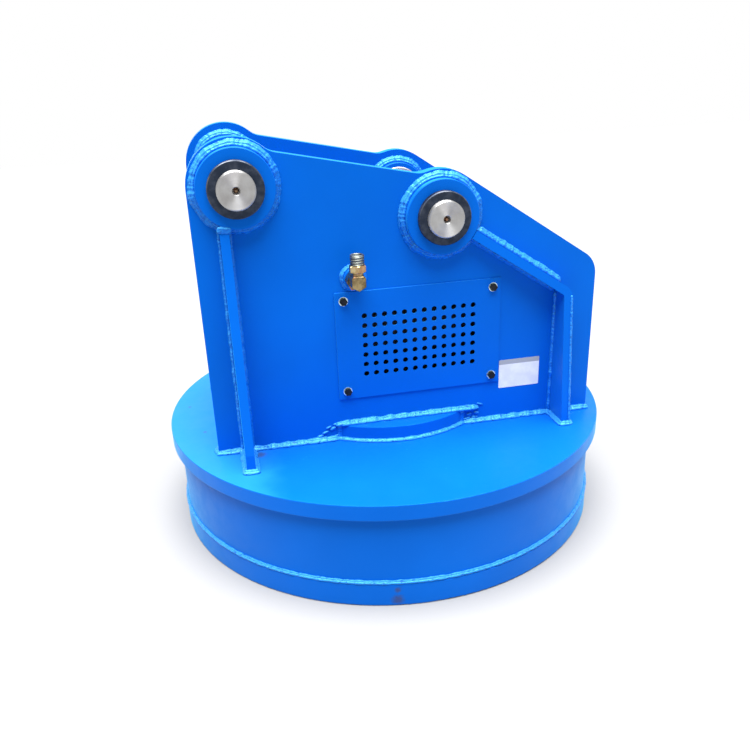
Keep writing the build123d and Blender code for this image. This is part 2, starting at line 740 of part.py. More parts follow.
with BuildPart() as port_sockets:
    with BuildSketch(upright(-socket_in_y), upright(socket_out_y)):
        with Locations((PORT_X, PORT_Z)):
            Circle(SOCKET_R)
            Circle(BORE_R, mode=Mode.SUBTRACT)
    extrude(amount=socket_out_y - socket_in_y)
    rims = port_sockets.edges().filter_by(GeomType.CIRCLE).group_by(SortBy.RADIUS)[-1]
    chamfer(rims, SOCKET_CHAMFER)
port_sockets.part.label = "port_sockets"
export_step(port_sockets.part, "parts/port_sockets.step")

with BuildPart() as swivel_nuts:
    with BuildSketch(upright(-socket_out_y), upright(swivel_out_y)):
        with Locations((PORT_X, PORT_Z)):
            RegularPolygon(SWIVEL_AF / 2, 6, major_radius=False)
            Circle(BORE_R, mode=Mode.SUBTRACT)
    extrude(amount=SWIVEL_L)
swivel_nuts.part.label = "swivel_nuts"
export_step(swivel_nuts.part, "parts/swivel_nuts.step")

for side, sign in sides.items():
    with BuildPart() as port_elbow:
        with BuildSketch(Plane((PORT_X, sign * elbow_y, PORT_Z - ELBOW_BELOW))):
            RegularPolygon(ELBOW_AF / 2, 6, major_radius=False, rotation=30)
        extrude(amount=ELBOW_BELOW + ELBOW_ABOVE)
        chamfer(port_elbow.edges().group_by(Axis.Z)[0], ELBOW_CHAMFER)
        with BuildSketch(Plane((PORT_X, sign * elbow_y, elbow_top_z))):
            Circle(NECK_R)
        extrude(amount=NECK_H)
        with BuildSketch(slab_plane(sign * swivel_out_y, sign * elbow_y)):
            with Locations((PORT_X, PORT_Z)):
                Circle(ELBOW_LEG_R)
        extrude(amount=elbow_y - swivel_out_y)
        with BuildSketch(slab_plane(sign * swivel_out_y, sign * elbow_y)):
            with Locations((PORT_X, PORT_Z)):
                Circle(BORE_R)
        extrude(amount=elbow_y - swivel_out_y, mode=Mode.SUBTRACT)
        with BuildSketch(Plane((PORT_X, sign * elbow_y, PORT_Z))):
            Circle(BORE_R)
        extrude(amount=ELBOW_ABOVE + NECK_H, mode=Mode.SUBTRACT)
    port_elbow.part.label = f"{side}_port_elbow"
    export_step(port_elbow.part, f"parts/{side}_port_elbow.step")

    with BuildPart() as port_adapter:
        with BuildSketch(Plane((PORT_X, sign * elbow_y, adapter_z))):
            RegularPolygon(ADAPTER_AF / 2, 6, major_radius=False)
        extrude(amount=ADAPTER_HEX_H)
        with BuildSketch(Plane((PORT_X, sign * elbow_y, thread_z))):
            Circle(THREAD_R)
        extrude(amount=THREAD_H)
        chamfer(port_adapter.edges().group_by(Axis.Z)[-1], THREAD_CHAMFER)
        with Locations((PORT_X, sign * elbow_y, thread_z + THREAD_H)):
            CounterSinkHole(BORE_R, CONE_R, counter_sink_angle=CONE_ANGLE)
    port_adapter.part.label = f"{side}_port_adapter"
    export_step(port_adapter.part, f"parts/{side}_port_adapter.step")

# Generator set on its bed plate

with BuildPart() as bed_plate:
    with BuildSketch(Plane.XY.offset(doubler_z)):
        RectangleRounded(BED_L, BED_W, BED_R)
    extrude(amount=BED_T)
bed_plate.part.label = "bed_plate"
export_step(bed_plate.part, "parts/bed_plate.step")

bed_top_z = doubler_z + BED_T
foot_meets_y = YOKE_R * sin(radians(FOOT_ANGLE))
foot_meets_z = shaft_z - YOKE_R * cos(radians(FOOT_ANGLE))
with BuildPart() as generator_yoke:
    with BuildSketch(Plane.YZ.offset(YOKE_LEFT_X)):
        with Locations((0, shaft_z)):
            Circle(YOKE_R)
            with PolarLocations(YOKE_R, YOKE_RIB_COUNT):
                Rectangle(2 * YOKE_RIB_H, YOKE_RIB_T)
    extrude(amount=YOKE_RIGHT_X - YOKE_LEFT_X)
    for foot_x in (YOKE_LEFT_X + FOOT_INSET, YOKE_RIGHT_X - FOOT_INSET - FOOT_T):
        with BuildSketch(Plane.YZ.offset(foot_x)):
            with BuildLine():
                Polyline(
                    (-FOOT_W / 2, bed_top_z),
                    (FOOT_W / 2, bed_top_z),
                    (FOOT_W / 2, bed_top_z + FOOT_PAD_T),
                    (foot_meets_y, foot_meets_z),
                    (0, shaft_z),
                    (-foot_meets_y, foot_meets_z),
                    (-FOOT_W / 2, bed_top_z + FOOT_PAD_T),
                    close=True,
                )
            make_face()
        extrude(amount=FOOT_T)
generator_yoke.part.label = "generator_yoke"
export_step(generator_yoke.part, "parts/generator_yoke.step")

shields = {"drive": (YOKE_LEFT_X - SHIELD_T, 0), "rear": (YOKE_RIGHT_X, -1)}
for shield_name, (shield_x, free_end) in shields.items():
    with BuildPart() as end_shield:
        with BuildSketch(Plane.YZ.offset(shield_x)):
            with Locations((0, shaft_z)):
                Circle(SHIELD_R)
        extrude(amount=SHIELD_T)
        fillet(end_shield.faces().sort_by(Axis.X)[free_end].edges(), SHIELD_EDGE)
    end_shield.part.label = f"generator_{shield_name}_shield"
    export_step(end_shield.part, f"parts/generator_{shield_name}_shield.step")

bell_right_x = YOKE_LEFT_X - SHIELD_T
bell_left_x = bell_right_x - BELL_L
with BuildPart() as bell_housing:
    with BuildSketch(Plane((0, 0, shaft_z), x_dir=(1, 0, 0), z_dir=(0, -1, 0))):
        with BuildLine():
            Polyline(
                (bell_right_x, 0),
                (bell_right_x, BELL_FLANGE_R),
                (bell_right_x - BELL_FLANGE_T, BELL_FLANGE_R),
                (bell_right_x - BELL_FLANGE_T, BELL_NECK_R + BELL_FLARE),
                (bell_left_x + BELL_FLANGE_T, BELL_NECK_R),
                (bell_left_x, BELL_NECK_R),
                (bell_left_x, 0),
                close=True,
            )
        make_face()
    revolve(axis=Axis((0, 0, shaft_z), (1, 0, 0)))
bell_housing.part.label = "bell_housing"
export_step(bell_housing.part, "parts/bell_housing.step")

motor_left_x = bell_left_x - MOTOR_L
seam_w = MOTOR_W - 2 * MOTOR_SEAM
seam_h = MOTOR_H - 2 * MOTOR_SEAM
with BuildPart() as hydraulic_motor:
    with BuildSketch(Plane.YZ.offset(motor_left_x)):
        with Locations((0, shaft_z)):
            RectangleRounded(MOTOR_W, MOTOR_H, MOTOR_R)
    extrude(amount=MOTOR_L)
    with BuildSketch(Plane.YZ.offset(motor_left_x + MOTOR_COVER_L)):
        with Locations((0, shaft_z)):
            RectangleRounded(MOTOR_W + MOTOR_SEAM, MOTOR_H + MOTOR_SEAM, MOTOR_R)
            RectangleRounded(seam_w, seam_h, MOTOR_R - MOTOR_SEAM, mode=Mode.SUBTRACT)
    extrude(amount=MOTOR_SEAM, mode=Mode.SUBTRACT)
    with BuildSketch(upright(MOTOR_W / 2 + MOTOR_PORT_H)):
        with Locations((MOTOR_PORT_X, shaft_z)):
            Circle(MOTOR_PORT_R)
    extrude(amount=MOTOR_W + 2 * MOTOR_PORT_H)
hydraulic_motor.part.label = "hydraulic_motor"
export_step(hydraulic_motor.part, "parts/hydraulic_motor.step")

motor_port_y = MOTOR_W / 2 + MOTOR_PORT_H
for side, sign in sides.items():
    with BuildPart() as oil_pipe:
        with BuildLine() as route:
            FilletPolyline(
                (MOTOR_PORT_X, sign * motor_port_y, shaft_z),
                (MOTOR_PORT_X, sign * PIPE_Y, shaft_z),
                (MOTOR_PORT_X, sign * PIPE_Y, PORT_Z),
                (PORT_X, sign * PIPE_Y, PORT_Z),
                (PORT_X, sign * socket_in_y, PORT_Z),
                radius=PIPE_BEND_R,
            )
        with BuildSketch(Plane((MOTOR_PORT_X, sign * motor_port_y, shaft_z), z_dir=(0, sign, 0))):
            Circle(PIPE_R)
        sweep()
        near_y = sign * motor_port_y
        with BuildSketch(slab_plane(near_y, near_y + sign * PIPE_NUT_L)):
            with Locations((MOTOR_PORT_X, shaft_z)):
                RegularPolygon(PIPE_NUT_AF / 2, 6, major_radius=False)
        extrude(amount=PIPE_NUT_L)
        near_y = sign * socket_in_y
        with BuildSketch(slab_plane(near_y, near_y - sign * PIPE_NUT_L)):
            with Locations((PORT_X, PORT_Z)):
                RegularPolygon(PIPE_NUT_AF / 2, 6, major_radius=False)
        extrude(amount=PIPE_NUT_L)
    oil_pipe.part.label = f"{side}_oil_pipe"
    export_step(oil_pipe.part, f"parts/{side}_oil_pipe.step")

# Control box on its welded feet, and the coil lead that rises into it

with BuildPart() as control_box:
    with BuildSketch(Plane.YZ.offset(box_x)):
        with Locations((0, box_z + BOX_H / 2)):
            RectangleRounded(BOX_W, BOX_H, BOX_R)
    extrude(amount=BOX_L)
    with BuildSketch(Plane.YZ.offset(box_x + BOX_WALL)):
        with Locations((0, box_z + BOX_H / 2)):
            RectangleRounded(BOX_W - 2 * BOX_WALL, BOX_H - 2 * BOX_WALL, BOX_R - BOX_WALL)
    extrude(amount=BOX_L - BOX_WALL, mode=Mode.SUBTRACT)
    with BuildSketch(Plane.XY.offset(box_z)):
        with Locations((LEAD_X, 0)):
            Circle(LEAD_R + FIT)
    extrude(amount=BOX_WALL, mode=Mode.SUBTRACT)
    with BuildSketch(Plane.XY.offset(plate_foot_z)):
        with Locations((box_x + BOX_L / 2, 0)):
            with GridLocations(BOX_L - 2 * BOX_STAND_INSET, BOX_W - 2 * BOX_STAND_INSET, 2, 2):
                Circle(BOX_STAND_R)
    extrude(amount=BOX_STAND)
control_box.part.label = "control_box"
export_step(control_box.part, "parts/control_box.step")

with BuildPart() as control_box_lid:
    with BuildSketch(Plane.YZ.offset(box_x + BOX_L)):
        with Locations((0, box_z + BOX_H / 2)):
            RectangleRounded(BOX_W, BOX_H, BOX_R)
    extrude(amount=BOX_LID_T)
control_box_lid.part.label = "control_box_lid"
export_step(control_box_lid.part, "parts/control_box_lid.step")

with BuildPart() as lead_gland:
    with BuildSketch(Plane.XY.offset(top_plate_z)):
        with Locations((LEAD_X, 0)):
            Circle(GLAND_R)
    extrude(amount=TOP_PLATE_T)
    with BuildSketch(Plane.XY.offset(plate_foot_z)):
        with Locations((LEAD_X, 0)):
            RegularPolygon(GLAND_HEX_AF / 2, 6, major_radius=False)
    extrude(amount=GLAND_HEX_H)
    with BuildSketch(Plane.XY.offset(plate_foot_z + GLAND_HEX_H)):
        with Locations((LEAD_X, 0)):
            Circle(GLAND_DOME_R)
    extrude(amount=GLAND_DOME_H)
    fillet(lead_gland.edges().group_by(Axis.Z)[-1], GLAND_DOME_EDGE)
    with BuildSketch(Plane.XY.offset(top_plate_z)):
        with Locations((LEAD_X, 0)):
            Circle(LEAD_R + FIT)
    extrude(amount=TOP_PLATE_T + GLAND_HEX_H + GLAND_DOME_H, mode=Mode.SUBTRACT)
lead_gland.part.label = "lead_gland"
export_step(lead_gland.part, "parts/lead_gland.step")

lead_top_z = box_z + BOX_WALL + LEAD_TAIL
with BuildPart() as coil_lead:
    with BuildSketch(Plane.XY.offset(coil_top_z)):
        with Locations((LEAD_X, 0)):
            Circle(LEAD_R)
    extrude(amount=lead_top_z - coil_top_z)
coil_lead.part.label = "coil_lead"
export_step(coil_lead.part, "parts/coil_lead.step")
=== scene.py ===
"""Looks of the lifting electromagnet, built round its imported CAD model.

Metres, in the CAD frame: the origin is the centre of the working face, X runs along the side
plates, Y from the front plate to the rear plate, and Z is up.
"""

import json
from math import atan2, ceil, cos, pi, radians, sin, sqrt

import bpy
from mathutils import Matrix, Vector, noise


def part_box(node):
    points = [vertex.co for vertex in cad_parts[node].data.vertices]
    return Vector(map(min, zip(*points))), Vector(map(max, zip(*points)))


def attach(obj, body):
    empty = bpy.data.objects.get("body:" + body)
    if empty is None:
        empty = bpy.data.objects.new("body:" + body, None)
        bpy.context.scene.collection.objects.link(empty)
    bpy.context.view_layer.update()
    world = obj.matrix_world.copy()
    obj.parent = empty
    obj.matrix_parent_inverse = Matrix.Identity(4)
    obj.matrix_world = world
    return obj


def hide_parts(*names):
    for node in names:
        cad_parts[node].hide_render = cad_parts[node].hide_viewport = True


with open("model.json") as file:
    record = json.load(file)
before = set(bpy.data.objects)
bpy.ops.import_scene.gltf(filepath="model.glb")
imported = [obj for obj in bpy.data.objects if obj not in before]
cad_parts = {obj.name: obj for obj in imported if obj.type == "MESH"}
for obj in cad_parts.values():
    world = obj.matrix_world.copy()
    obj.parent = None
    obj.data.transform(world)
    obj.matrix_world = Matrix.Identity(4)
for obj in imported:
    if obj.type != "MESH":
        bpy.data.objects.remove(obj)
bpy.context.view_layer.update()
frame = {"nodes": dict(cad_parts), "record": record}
nodes = frame["nodes"]
record = frame["record"]
scene = bpy.context.scene

MM = 0.001
SIDES = {"front": -1, "rear": 1}
UP = Vector((0, 0, 1))


# Places and sizes read from the frame


def middle(node):
    """Middle of a node's box."""
    low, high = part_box(node)
    return (low + high) / 2


def half_width(node):
    """Half of a node's box along X, which is the radius of a piece turned about Y or Z."""
    low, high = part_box(node)
    return (high.x - low.x) / 2


shoe_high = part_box("outer_pole_shoe")[1]
wall_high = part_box("pot_wall")[1]
doubler_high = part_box("round_doubler")[1]
swivel_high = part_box("swivel_nuts")[1]
plate_low, plate_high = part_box("front_side_plate")
gusset_low, gusset_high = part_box("front_tapered_gusset")
rib_low, rib_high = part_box("front_bent_rib")
socket_low, socket_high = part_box("port_sockets")

foot_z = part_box("top_plate")[1].z
plate_outer_y = -plate_low.y
plate_inner_y = -plate_high.y
pins = {hand: middle(f"{hand}_pin") for hand in ("left", "right")}
outer_boss_r = half_width("front_left_outer_boss")
inner_boss_r = half_width("left_inner_bosses")
bush_r = half_width("front_left_bush")
socket_z = (socket_low.z + socket_high.z) / 2


# Sizes of shapes that a box doesn't give, as the CAD source has them

GUSSET_HEAD = 22 * MM
RIB_T = 16 * MM
RIB_SLOPE = radians(33.6)
RIB_RISE = 2.5 * MM
RIB_BEND_R = 16 * MM
RIB_BEND_Z = 474.7 * MM
RIB_BEND_REACH = 40 * MM
DECK_STEP_X = (-30 * MM, 45 * MM)
SOCKET_R = 18 * MM
HEX_TOP_Z = 565.5 * MM
HEX_H = 13 * MM
HEX_AF = 27 * MM
THREAD_R = 13 * MM
OIL_WAY_R = 8 * MM
NECK_R = 10.5 * MM


# Camera, fitted to the photograph

CAMERA_AT = (-0.325146, -1.51709, 0.896377)
CAMERA_AZIMUTH = -10.899
CAMERA_ELEVATION = 23.356
CAMERA_ROLL = -2.456
CAMERA_LENS = 37.33
CAMERA_SHIFT = (0.0106, 0.0212)
SENSOR = 36


def add_camera():
    azimuth, elevation, roll = (radians(a) for a in (CAMERA_AZIMUTH, CAMERA_ELEVATION, CAMERA_ROLL))
    forward = Vector((-sin(azimuth) * cos(elevation), cos(azimuth) * cos(elevation), -sin(elevation)))
    level = forward.cross(UP).normalized()
    upright = level.cross(forward)
    right = cos(roll) * level + sin(roll) * upright
    up = -sin(roll) * level + cos(roll) * upright
    data = bpy.data.cameras.new("camera")
    data.sensor_width = SENSOR
    data.sensor_fit = "HORIZONTAL"
    data.lens = CAMERA_LENS
    data.shift_x, data.shift_y = CAMERA_SHIFT
    camera = bpy.data.objects.new("camera", data)
    turn = Matrix((right, up, -forward)).transposed().to_4x4()
    camera.matrix_world = Matrix.Translation(CAMERA_AT) @ turn
    scene.collection.objects.link(camera)
    scene.camera = camera


# Shader building. A pattern of noise is given by its scale per metre, its detail and its
# roughness. A cut is the pair of values between which an effect grows from none to all of it.
# A bump is its strength and its depth.

WIDE_CUT = (0.3, 0.7)

# Edge of a spot in shares of its reach: how ragged it is, where it begins and where it ends
SPOT_PATTERN = (300, 4, 0.7)
SPOT_RAGGED = 1.2
SPOT_EDGE = (0.8, 1.6)

# Sockets of the Mix node that blends colours
MIX_SHARE = 0
MIX_FIRST = 6
MIX_SECOND = 7
MIX_RESULT = 2


class Shader:
    """A Principled material with short calls for the nodes that feed it."""

    def __init__(self, name, **settings):
        self.material = bpy.data.materials.new(name)
        self.material.use_nodes = True
        self.tree = self.material.node_tree
        self.surface = self.tree.nodes["Principled BSDF"]
        for key, value in settings.items():
            self.surface.inputs[key.replace("_", " ")].default_value = value
        place = self.add("ShaderNodeTexCoord")
        self.coords, self.facing = place.outputs["Object"], place.outputs["Normal"]

    def add(self, kind, inputs=None, **settings):
        node = self.tree.nodes.new(kind)
        for key, value in settings.items():
            setattr(node, key, value)
        for key, value in (inputs or {}).items():
            if isinstance(value, bpy.types.NodeSocket):
                self.tree.links.new(value, node.inputs[key])
            else:
                node.inputs[key].default_value = value
        return node

    def vector(self, operation, first, second):
        return self.add("ShaderNodeVectorMath", {0: first, 1: second}, operation=operation).outputs[0]

    def length(self, value):
        return self.add("ShaderNodeVectorMath", {0: value}, operation="LENGTH").outputs["Value"]

    def dot(self, first, second):
        sockets = {0: first, 1: second}
        return self.add("ShaderNodeVectorMath", sockets, operation="DOT_PRODUCT").outputs["Value"]

    def axis(self, value, name):
        return self.add("ShaderNodeSeparateXYZ", {0: value}).outputs[name]

    def math(self, operation, first, second=0.0):
        return self.add("ShaderNodeMath", {0: first, 1: second}, operation=operation).outputs[0]

    def noise(self, scale, detail, roughness, vector=None):
        sockets = {
            "Vector": vector or self.coords,
            "Scale": scale,
            "Detail": detail,
            "Roughness": roughness,
        }
        return self.add("ShaderNodeTexNoise", sockets).outputs["Fac"]

    def ramp(self, value, low, high, start=0.0, end=1.0):
        sockets = {
            "Value": value,
            "From Min": low,
            "From Max": high,
            "To Min": start,
            "To Max": end,
        }
        return self.add("ShaderNodeMapRange", sockets, interpolation_type="SMOOTHSTEP").outputs[0]

    def blend(self, share, first, second):
        node = self.add("ShaderNodeMix", data_type="RGBA")
        for index, value in ((MIX_SHARE, share), (MIX_FIRST, first), (MIX_SECOND, second)):
            if isinstance(value, bpy.types.NodeSocket):
                self.tree.links.new(value, node.inputs[index])
            else:
                node.inputs[index].default_value = value if index == MIX_SHARE else (*value, 1)
        return node.outputs[MIX_RESULT]

    def bump(self, height, strength, distance, after=None):
        sockets = {"Height": height, "Strength": strength, "Distance": distance}
        if after:
            sockets["Normal"] = after
        return self.add("ShaderNodeBump", sockets).outputs[0]

    def spot(self, centre, reach):
        """1 at a point and 0 beyond a ragged edge around it."""
        away = self.length(self.vector("SUBTRACT", self.coords, centre))
        ragged = self.math("MULTIPLY", self.noise(*SPOT_PATTERN), SPOT_RAGGED * reach)
        begin, end = (share * reach for share in SPOT_EDGE)
        return self.ramp(self.math("ADD", away, ragged), begin, end, 1.0, 0.0)

    def set(self, **sockets):
        for key, socket in sockets.items():
            self.tree.links.new(socket, self.surface.inputs[key.replace("_", " ")])
        return self.material


# Paint

BLUE = (0.001, 0.109, 0.57)
BLUE_DEEP = (0.001, 0.097, 0.52)
BLUE_PALE = (0.01, 0.2, 0.68)
BLUE_PAINTED_HIGHLIGHT = (0.012, 0.185, 0.62)
RUST = (0.05, 0.035, 0.04)

# Tint of the paint's gloss, and the haze that pales it at a glancing view
GLINT = (0.08, 0.6, 1.0, 1)
HAZE = (0.06, 0.75, 1.0, 1)
HAZE_WEIGHT = 0.25
HAZE_ROUGH = 0.4
PAINT_IOR = 1.35

CLOUDS = (4, 3, 0.55)
FLECKS = (1, 3, 0.6)
FLECK_STRETCH = (70, 70, 520)
FLECK_CUT = (0.7, 0.76)
FLECK_SHARE = 0.55
FLECK_PATCHES = (7, 2, 0.5)
FLECK_PATCH_CUT = (0.52, 0.62)
SWELL = (9, 2, 0.5)
SWELL_BUMP = (0.15, 1.5 * MM)
PEEL = (260, 2, 0.5)
PEEL_BUMP = (0.04, 0.3 * MM)
PAINT_GLOSS = (30, 4, 0.6)
PAINT_ROUGH = (0.38, 0.48)
DULL_ROUGH = 0.8

# Spots where the photograph shows the paint stained or chipped, with their reach
STAINS = (
    ((-76.3 * MM, -432.3 * MM, 33.8 * MM), 8 * MM),
    ((-76.8 * MM, -432.2 * MM, 13.1 * MM), 15 * MM),
    ((277.6 * MM, -340.2 * MM, 71.2 * MM), 4 * MM),
    ((-281 * MM, -200 * MM, 212.5 * MM), 15 * MM),
    ((-382 * MM, -70 * MM, 212.5 * MM), 6 * MM),
    ((-412 * MM, 65 * MM, 212.5 * MM), 5 * MM),
)
STAIN_SHARE = 0.65

# The lowest edge is worn bare in patches, which end between these heights
BARE_EDGE_Z = (1 * MM, 4 * MM)
WEAR = (40, 4, 0.7)
WEAR_CUT = (0.5, 0.7)

# Painted highlight: upward faces are painted paler, as if more strongly lit. It begins between these
# heights and a little way inside the side plates' inner faces. On the top plate it ends between
# these X, along a ragged edge.
PAINTED_HIGHLIGHT_Z = (400 * MM, 440 * MM)
PAINTED_HIGHLIGHT_X = (-285 * MM, -205 * MM)
PAINTED_HIGHLIGHT_INSIDE = 2 * MM
PAINTED_HIGHLIGHT_PATTERN = (12, 3, 0.6)
PAINTED_HIGHLIGHT_RAGGED = 60 * MM
UPWARD_CUT = (0.7, 0.9)


def painted_highlights(shader):
    """Shares of painted highlight, on the upward edges and on the left of the top plate."""
    upward = shader.ramp(shader.axis(shader.facing, "Z"), *UPWARD_CUT)
    high = shader.ramp(shader.axis(shader.coords, "Z"), *PAINTED_HIGHLIGHT_Z)
    depth = shader.math("ABSOLUTE", shader.axis(shader.coords, "Y"))
    outside = shader.ramp(depth, plate_inner_y - PAINTED_HIGHLIGHT_INSIDE, plate_inner_y)
    high = shader.math("MULTIPLY", high, outside)
    ragged = shader.math("MULTIPLY", shader.noise(*PAINTED_HIGHLIGHT_PATTERN), PAINTED_HIGHLIGHT_RAGGED)
    place = shader.math("ADD", shader.axis(shader.coords, "X"), ragged)
    left = shader.ramp(place, *PAINTED_HIGHLIGHT_X, 1.0, 0.0)
    return shader.math("MULTIPLY", upward, high), shader.math("MULTIPLY", upward, left)


def paint_shader(name, ior, glint):
    """Start of a gloss paint, with the haze that all the paint has."""
    return Shader(
        name,
        IOR=ior,
        Specular_Tint=glint,
        Sheen_Weight=HAZE_WEIGHT,
        Sheen_Roughness=HAZE_ROUGH,
        Sheen_Tint=HAZE,
    )


def blue_paint():
    """Gloss paint with orange peel, soft clouding, brush flecks, stains, a worn lower edge and a
    painted highlight on upward faces.
    """
    shader = paint_shader("blue_paint", PAINT_IOR, GLINT)
    colour = shader.blend(shader.ramp(shader.noise(*CLOUDS), *WIDE_CUT), BLUE_DEEP, BLUE)
    streaked = shader.vector("MULTIPLY", shader.coords, FLECK_STRETCH)
    flecks = shader.ramp(shader.noise(*FLECKS, streaked), *FLECK_CUT)
    patches = shader.ramp(shader.noise(*FLECK_PATCHES), *FLECK_PATCH_CUT)
    flecks = shader.math("MULTIPLY", flecks, patches)
    colour = shader.blend(shader.math("MULTIPLY", flecks, FLECK_SHARE), colour, BLUE_PALE)
    edges, left = painted_highlights(shader)
    # Painted highlight: the upward edges and the left of the top plate are painted paler.
    colour = shader.blend(shader.math("MAXIMUM", edges, left), colour, BLUE_PAINTED_HIGHLIGHT)
    stain = None
    for centre, reach in STAINS:
        here = shader.spot(centre, reach)
        stain = shader.math("MAXIMUM", stain, here) if stain else here
    worn = shader.ramp(shader.axis(shader.coords, "Z"), *BARE_EDGE_Z, 1.0, 0.0)
    worn = shader.math("MULTIPLY", worn, shader.ramp(shader.noise(*WEAR), *WEAR_CUT))
    stain = shader.math("MAXIMUM", shader.math("MULTIPLY", stain, STAIN_SHARE), worn)
    colour = shader.blend(stain, colour, RUST)
    normal = shader.bump(shader.noise(*SWELL), *SWELL_BUMP)
    normal = shader.bump(shader.noise(*PEEL), *PEEL_BUMP, normal)
    sheen = shader.ramp(shader.noise(*PAINT_GLOSS), *WIDE_CUT, *PAINT_ROUGH)
    dull = shader.math("MULTIPLY", shader.math("MAXIMUM", stain, edges), DULL_ROUGH)
    return shader.set(Base_Color=colour, Roughness=shader.math("MAXIMUM", sheen, dull), Normal=normal)


# Paint on the beads, with painted light: paler on the side that faces up, a little to the front
# and left, where the light falls

BEAD_PAINTED_GLINT = (0.002, 0.15, 0.66)
BEAD_PAINTED_LIGHT = (0.03, 0.25, 0.66)
BEAD_PAINTED_SHADE = (0.001, 0.05, 0.36)
BEAD_GLINT = (0.26, 0.85, 1.0, 1)
BEAD_IOR = 1.62
GLINT_STREAKS = (160, 5, 0.7)
GLINT_STREAK_CUT = (0.46, 0.62)
LIT_SIDE = (-0.25, -0.3, 0.92)
LIT_SIDE_CUT = (0.29, 0.56)
LIT_SIDE_PATCHES = (120, 3, 0.6)
LIT_SIDE_PATCH_CUT = (0.3, 0.5)
LIT_SIDE_SHARE = (0.7, 1.0)
SHADE_STREAKS = (1, 3, 0.6)
SHADE_STRETCH = (110, 380, 380)
SHADE_CUT = (0.56, 0.62)
SHADE_SHARE = 0.9
BEAD_GRAIN = (320, 3, 0.6)
BEAD_BUMP = (0.25, 0.4 * MM)
BEAD_GLOSS = (90, 3, 0.6)
BEAD_ROUGH = (0.26, 0.38)


def weld_paint():
    """The same paint on weld beads, glossy, with lighter streaks as a painted highlight of the
    ripples' gloss, a side painted paler where light falls, and darker streaks of painted shade.
    """
    shader = paint_shader("weld_paint", BEAD_IOR, BEAD_GLINT)
    # Painted highlight: lighter random streaks stand for the gloss on the bead's ripples.
    colour = shader.blend(shader.ramp(shader.noise(*GLINT_STREAKS), *GLINT_STREAK_CUT), BLUE, BEAD_PAINTED_GLINT)
    # Painted light: the side towards the light is painted paler, in patches.
    painted_light = shader.ramp(shader.dot(shader.facing, LIT_SIDE), *LIT_SIDE_CUT)
    patchy = shader.ramp(shader.noise(*LIT_SIDE_PATCHES), *LIT_SIDE_PATCH_CUT, *LIT_SIDE_SHARE)
    colour = shader.blend(shader.math("MULTIPLY", painted_light, patchy), colour, BEAD_PAINTED_LIGHT)
    # Painted shade: dark streaks drawn out along X stand for the grooves between the passes.
    drawn = shader.vector("MULTIPLY", shader.coords, SHADE_STRETCH)
    painted_shade = shader.ramp(shader.noise(*SHADE_STREAKS, drawn), *SHADE_CUT)
    colour = shader.blend(shader.math("MULTIPLY", painted_shade, SHADE_SHARE), colour, BEAD_PAINTED_SHADE)
    normal = shader.bump(shader.noise(*BEAD_GRAIN), *BEAD_BUMP)
    sheen = shader.ramp(shader.noise(*BEAD_GLOSS), *WIDE_CUT, *BEAD_ROUGH)
    return shader.set(Base_Color=colour, Roughness=sheen, Normal=normal)


# Metals, and the plain finishes of the hidden pieces

PLAIN_PATCHES = (60, 4, 0.6)
PLAIN_GLOSS = (110, 4, 0.6)
PLAIN_SPREAD = (0.8, 1.25)
GRAIN_DETAIL = (3, 0.6)
GRAIN_BUMP = (0.1, 0.2 * MM)


def plain_finish(name, colour, rough, grain=200.0, metallic=1.0, dark=0.72):
    """A finish with a fine grain and uneven sheen, metal unless metallic says otherwise. Its
    dark patches have the share dark of its colour."""
    shader = Shader(name, Metallic=metallic)
    patches = shader.ramp(shader.noise(*PLAIN_PATCHES), *WIDE_CUT)
    mixed = shader.blend(patches, tuple(dark * channel for channel in colour), colour)
    normal = shader.bump(shader.noise(grain, *GRAIN_DETAIL), *GRAIN_BUMP)
    spread = (rough * share for share in PLAIN_SPREAD)
    sheen = shader.ramp(shader.noise(*PLAIN_GLOSS), *WIDE_CUT, *spread)
    return shader.set(Base_Color=mixed, Roughness=sheen, Normal=normal)


def from_pin_axis(shader, pin):
    """Vector from a pin's axis to the surface, square to the axis."""
    return shader.vector("MULTIPLY", shader.vector("SUBTRACT", shader.coords, tuple(pin)), (1, 0, 1))


PIN_SMUDGE = (0.36, 0.35, 0.345)
PIN_STEEL = (0.44, 0.44, 0.44)
PIN_RING = (0.58, 0.58, 0.58)
PIN_ANISOTROPY = 0.85
SMUDGES = (38, 3, 0.55)
SMUDGE_CUT = (0.35, 0.65)
RINGS = (2600, 3, 0.7)
RING_SHARE = 0.3
RING_BUMP = (0.2, 0.05 * MM)
SHEEN_LEAN = 20 * MM
PIN_GLOSS = (60, 3, 0.6)
PIN_ROUGH = (0.44, 0.54)


def turned_steel(name, pin):
    """Pin steel with rings left by the lathe. The sheen runs square to the rings."""
    shader = Shader(name, Metallic=1.0, Anisotropic=PIN_ANISOTROPY)
    spoke = from_pin_axis(shader, pin)
    across = {0: shader.length(spoke), 1: shader.axis(shader.coords, "Y")}
    rings = shader.noise(*RINGS, shader.add("ShaderNodeCombineXYZ", across).outputs[0])
    smudge = shader.ramp(shader.noise(*SMUDGES), *SMUDGE_CUT)
    colour = shader.blend(smudge, PIN_SMUDGE, PIN_STEEL)
    colour = shader.blend(shader.ramp(rings, *WIDE_CUT, 0.0, RING_SHARE), colour, PIN_RING)
    leaning = shader.vector("ADD", spoke, (0, SHEEN_LEAN, 0))
    tangent = shader.vector("NORMALIZE", leaning, (0, 0, 0))
    normal = shader.bump(rings, *RING_BUMP)
    sheen = shader.ramp(shader.noise(*PIN_GLOSS), *WIDE_CUT, *PIN_ROUGH)
    return shader.set(Base_Color=colour, Roughness=sheen, Normal=normal, Tangent=tangent)


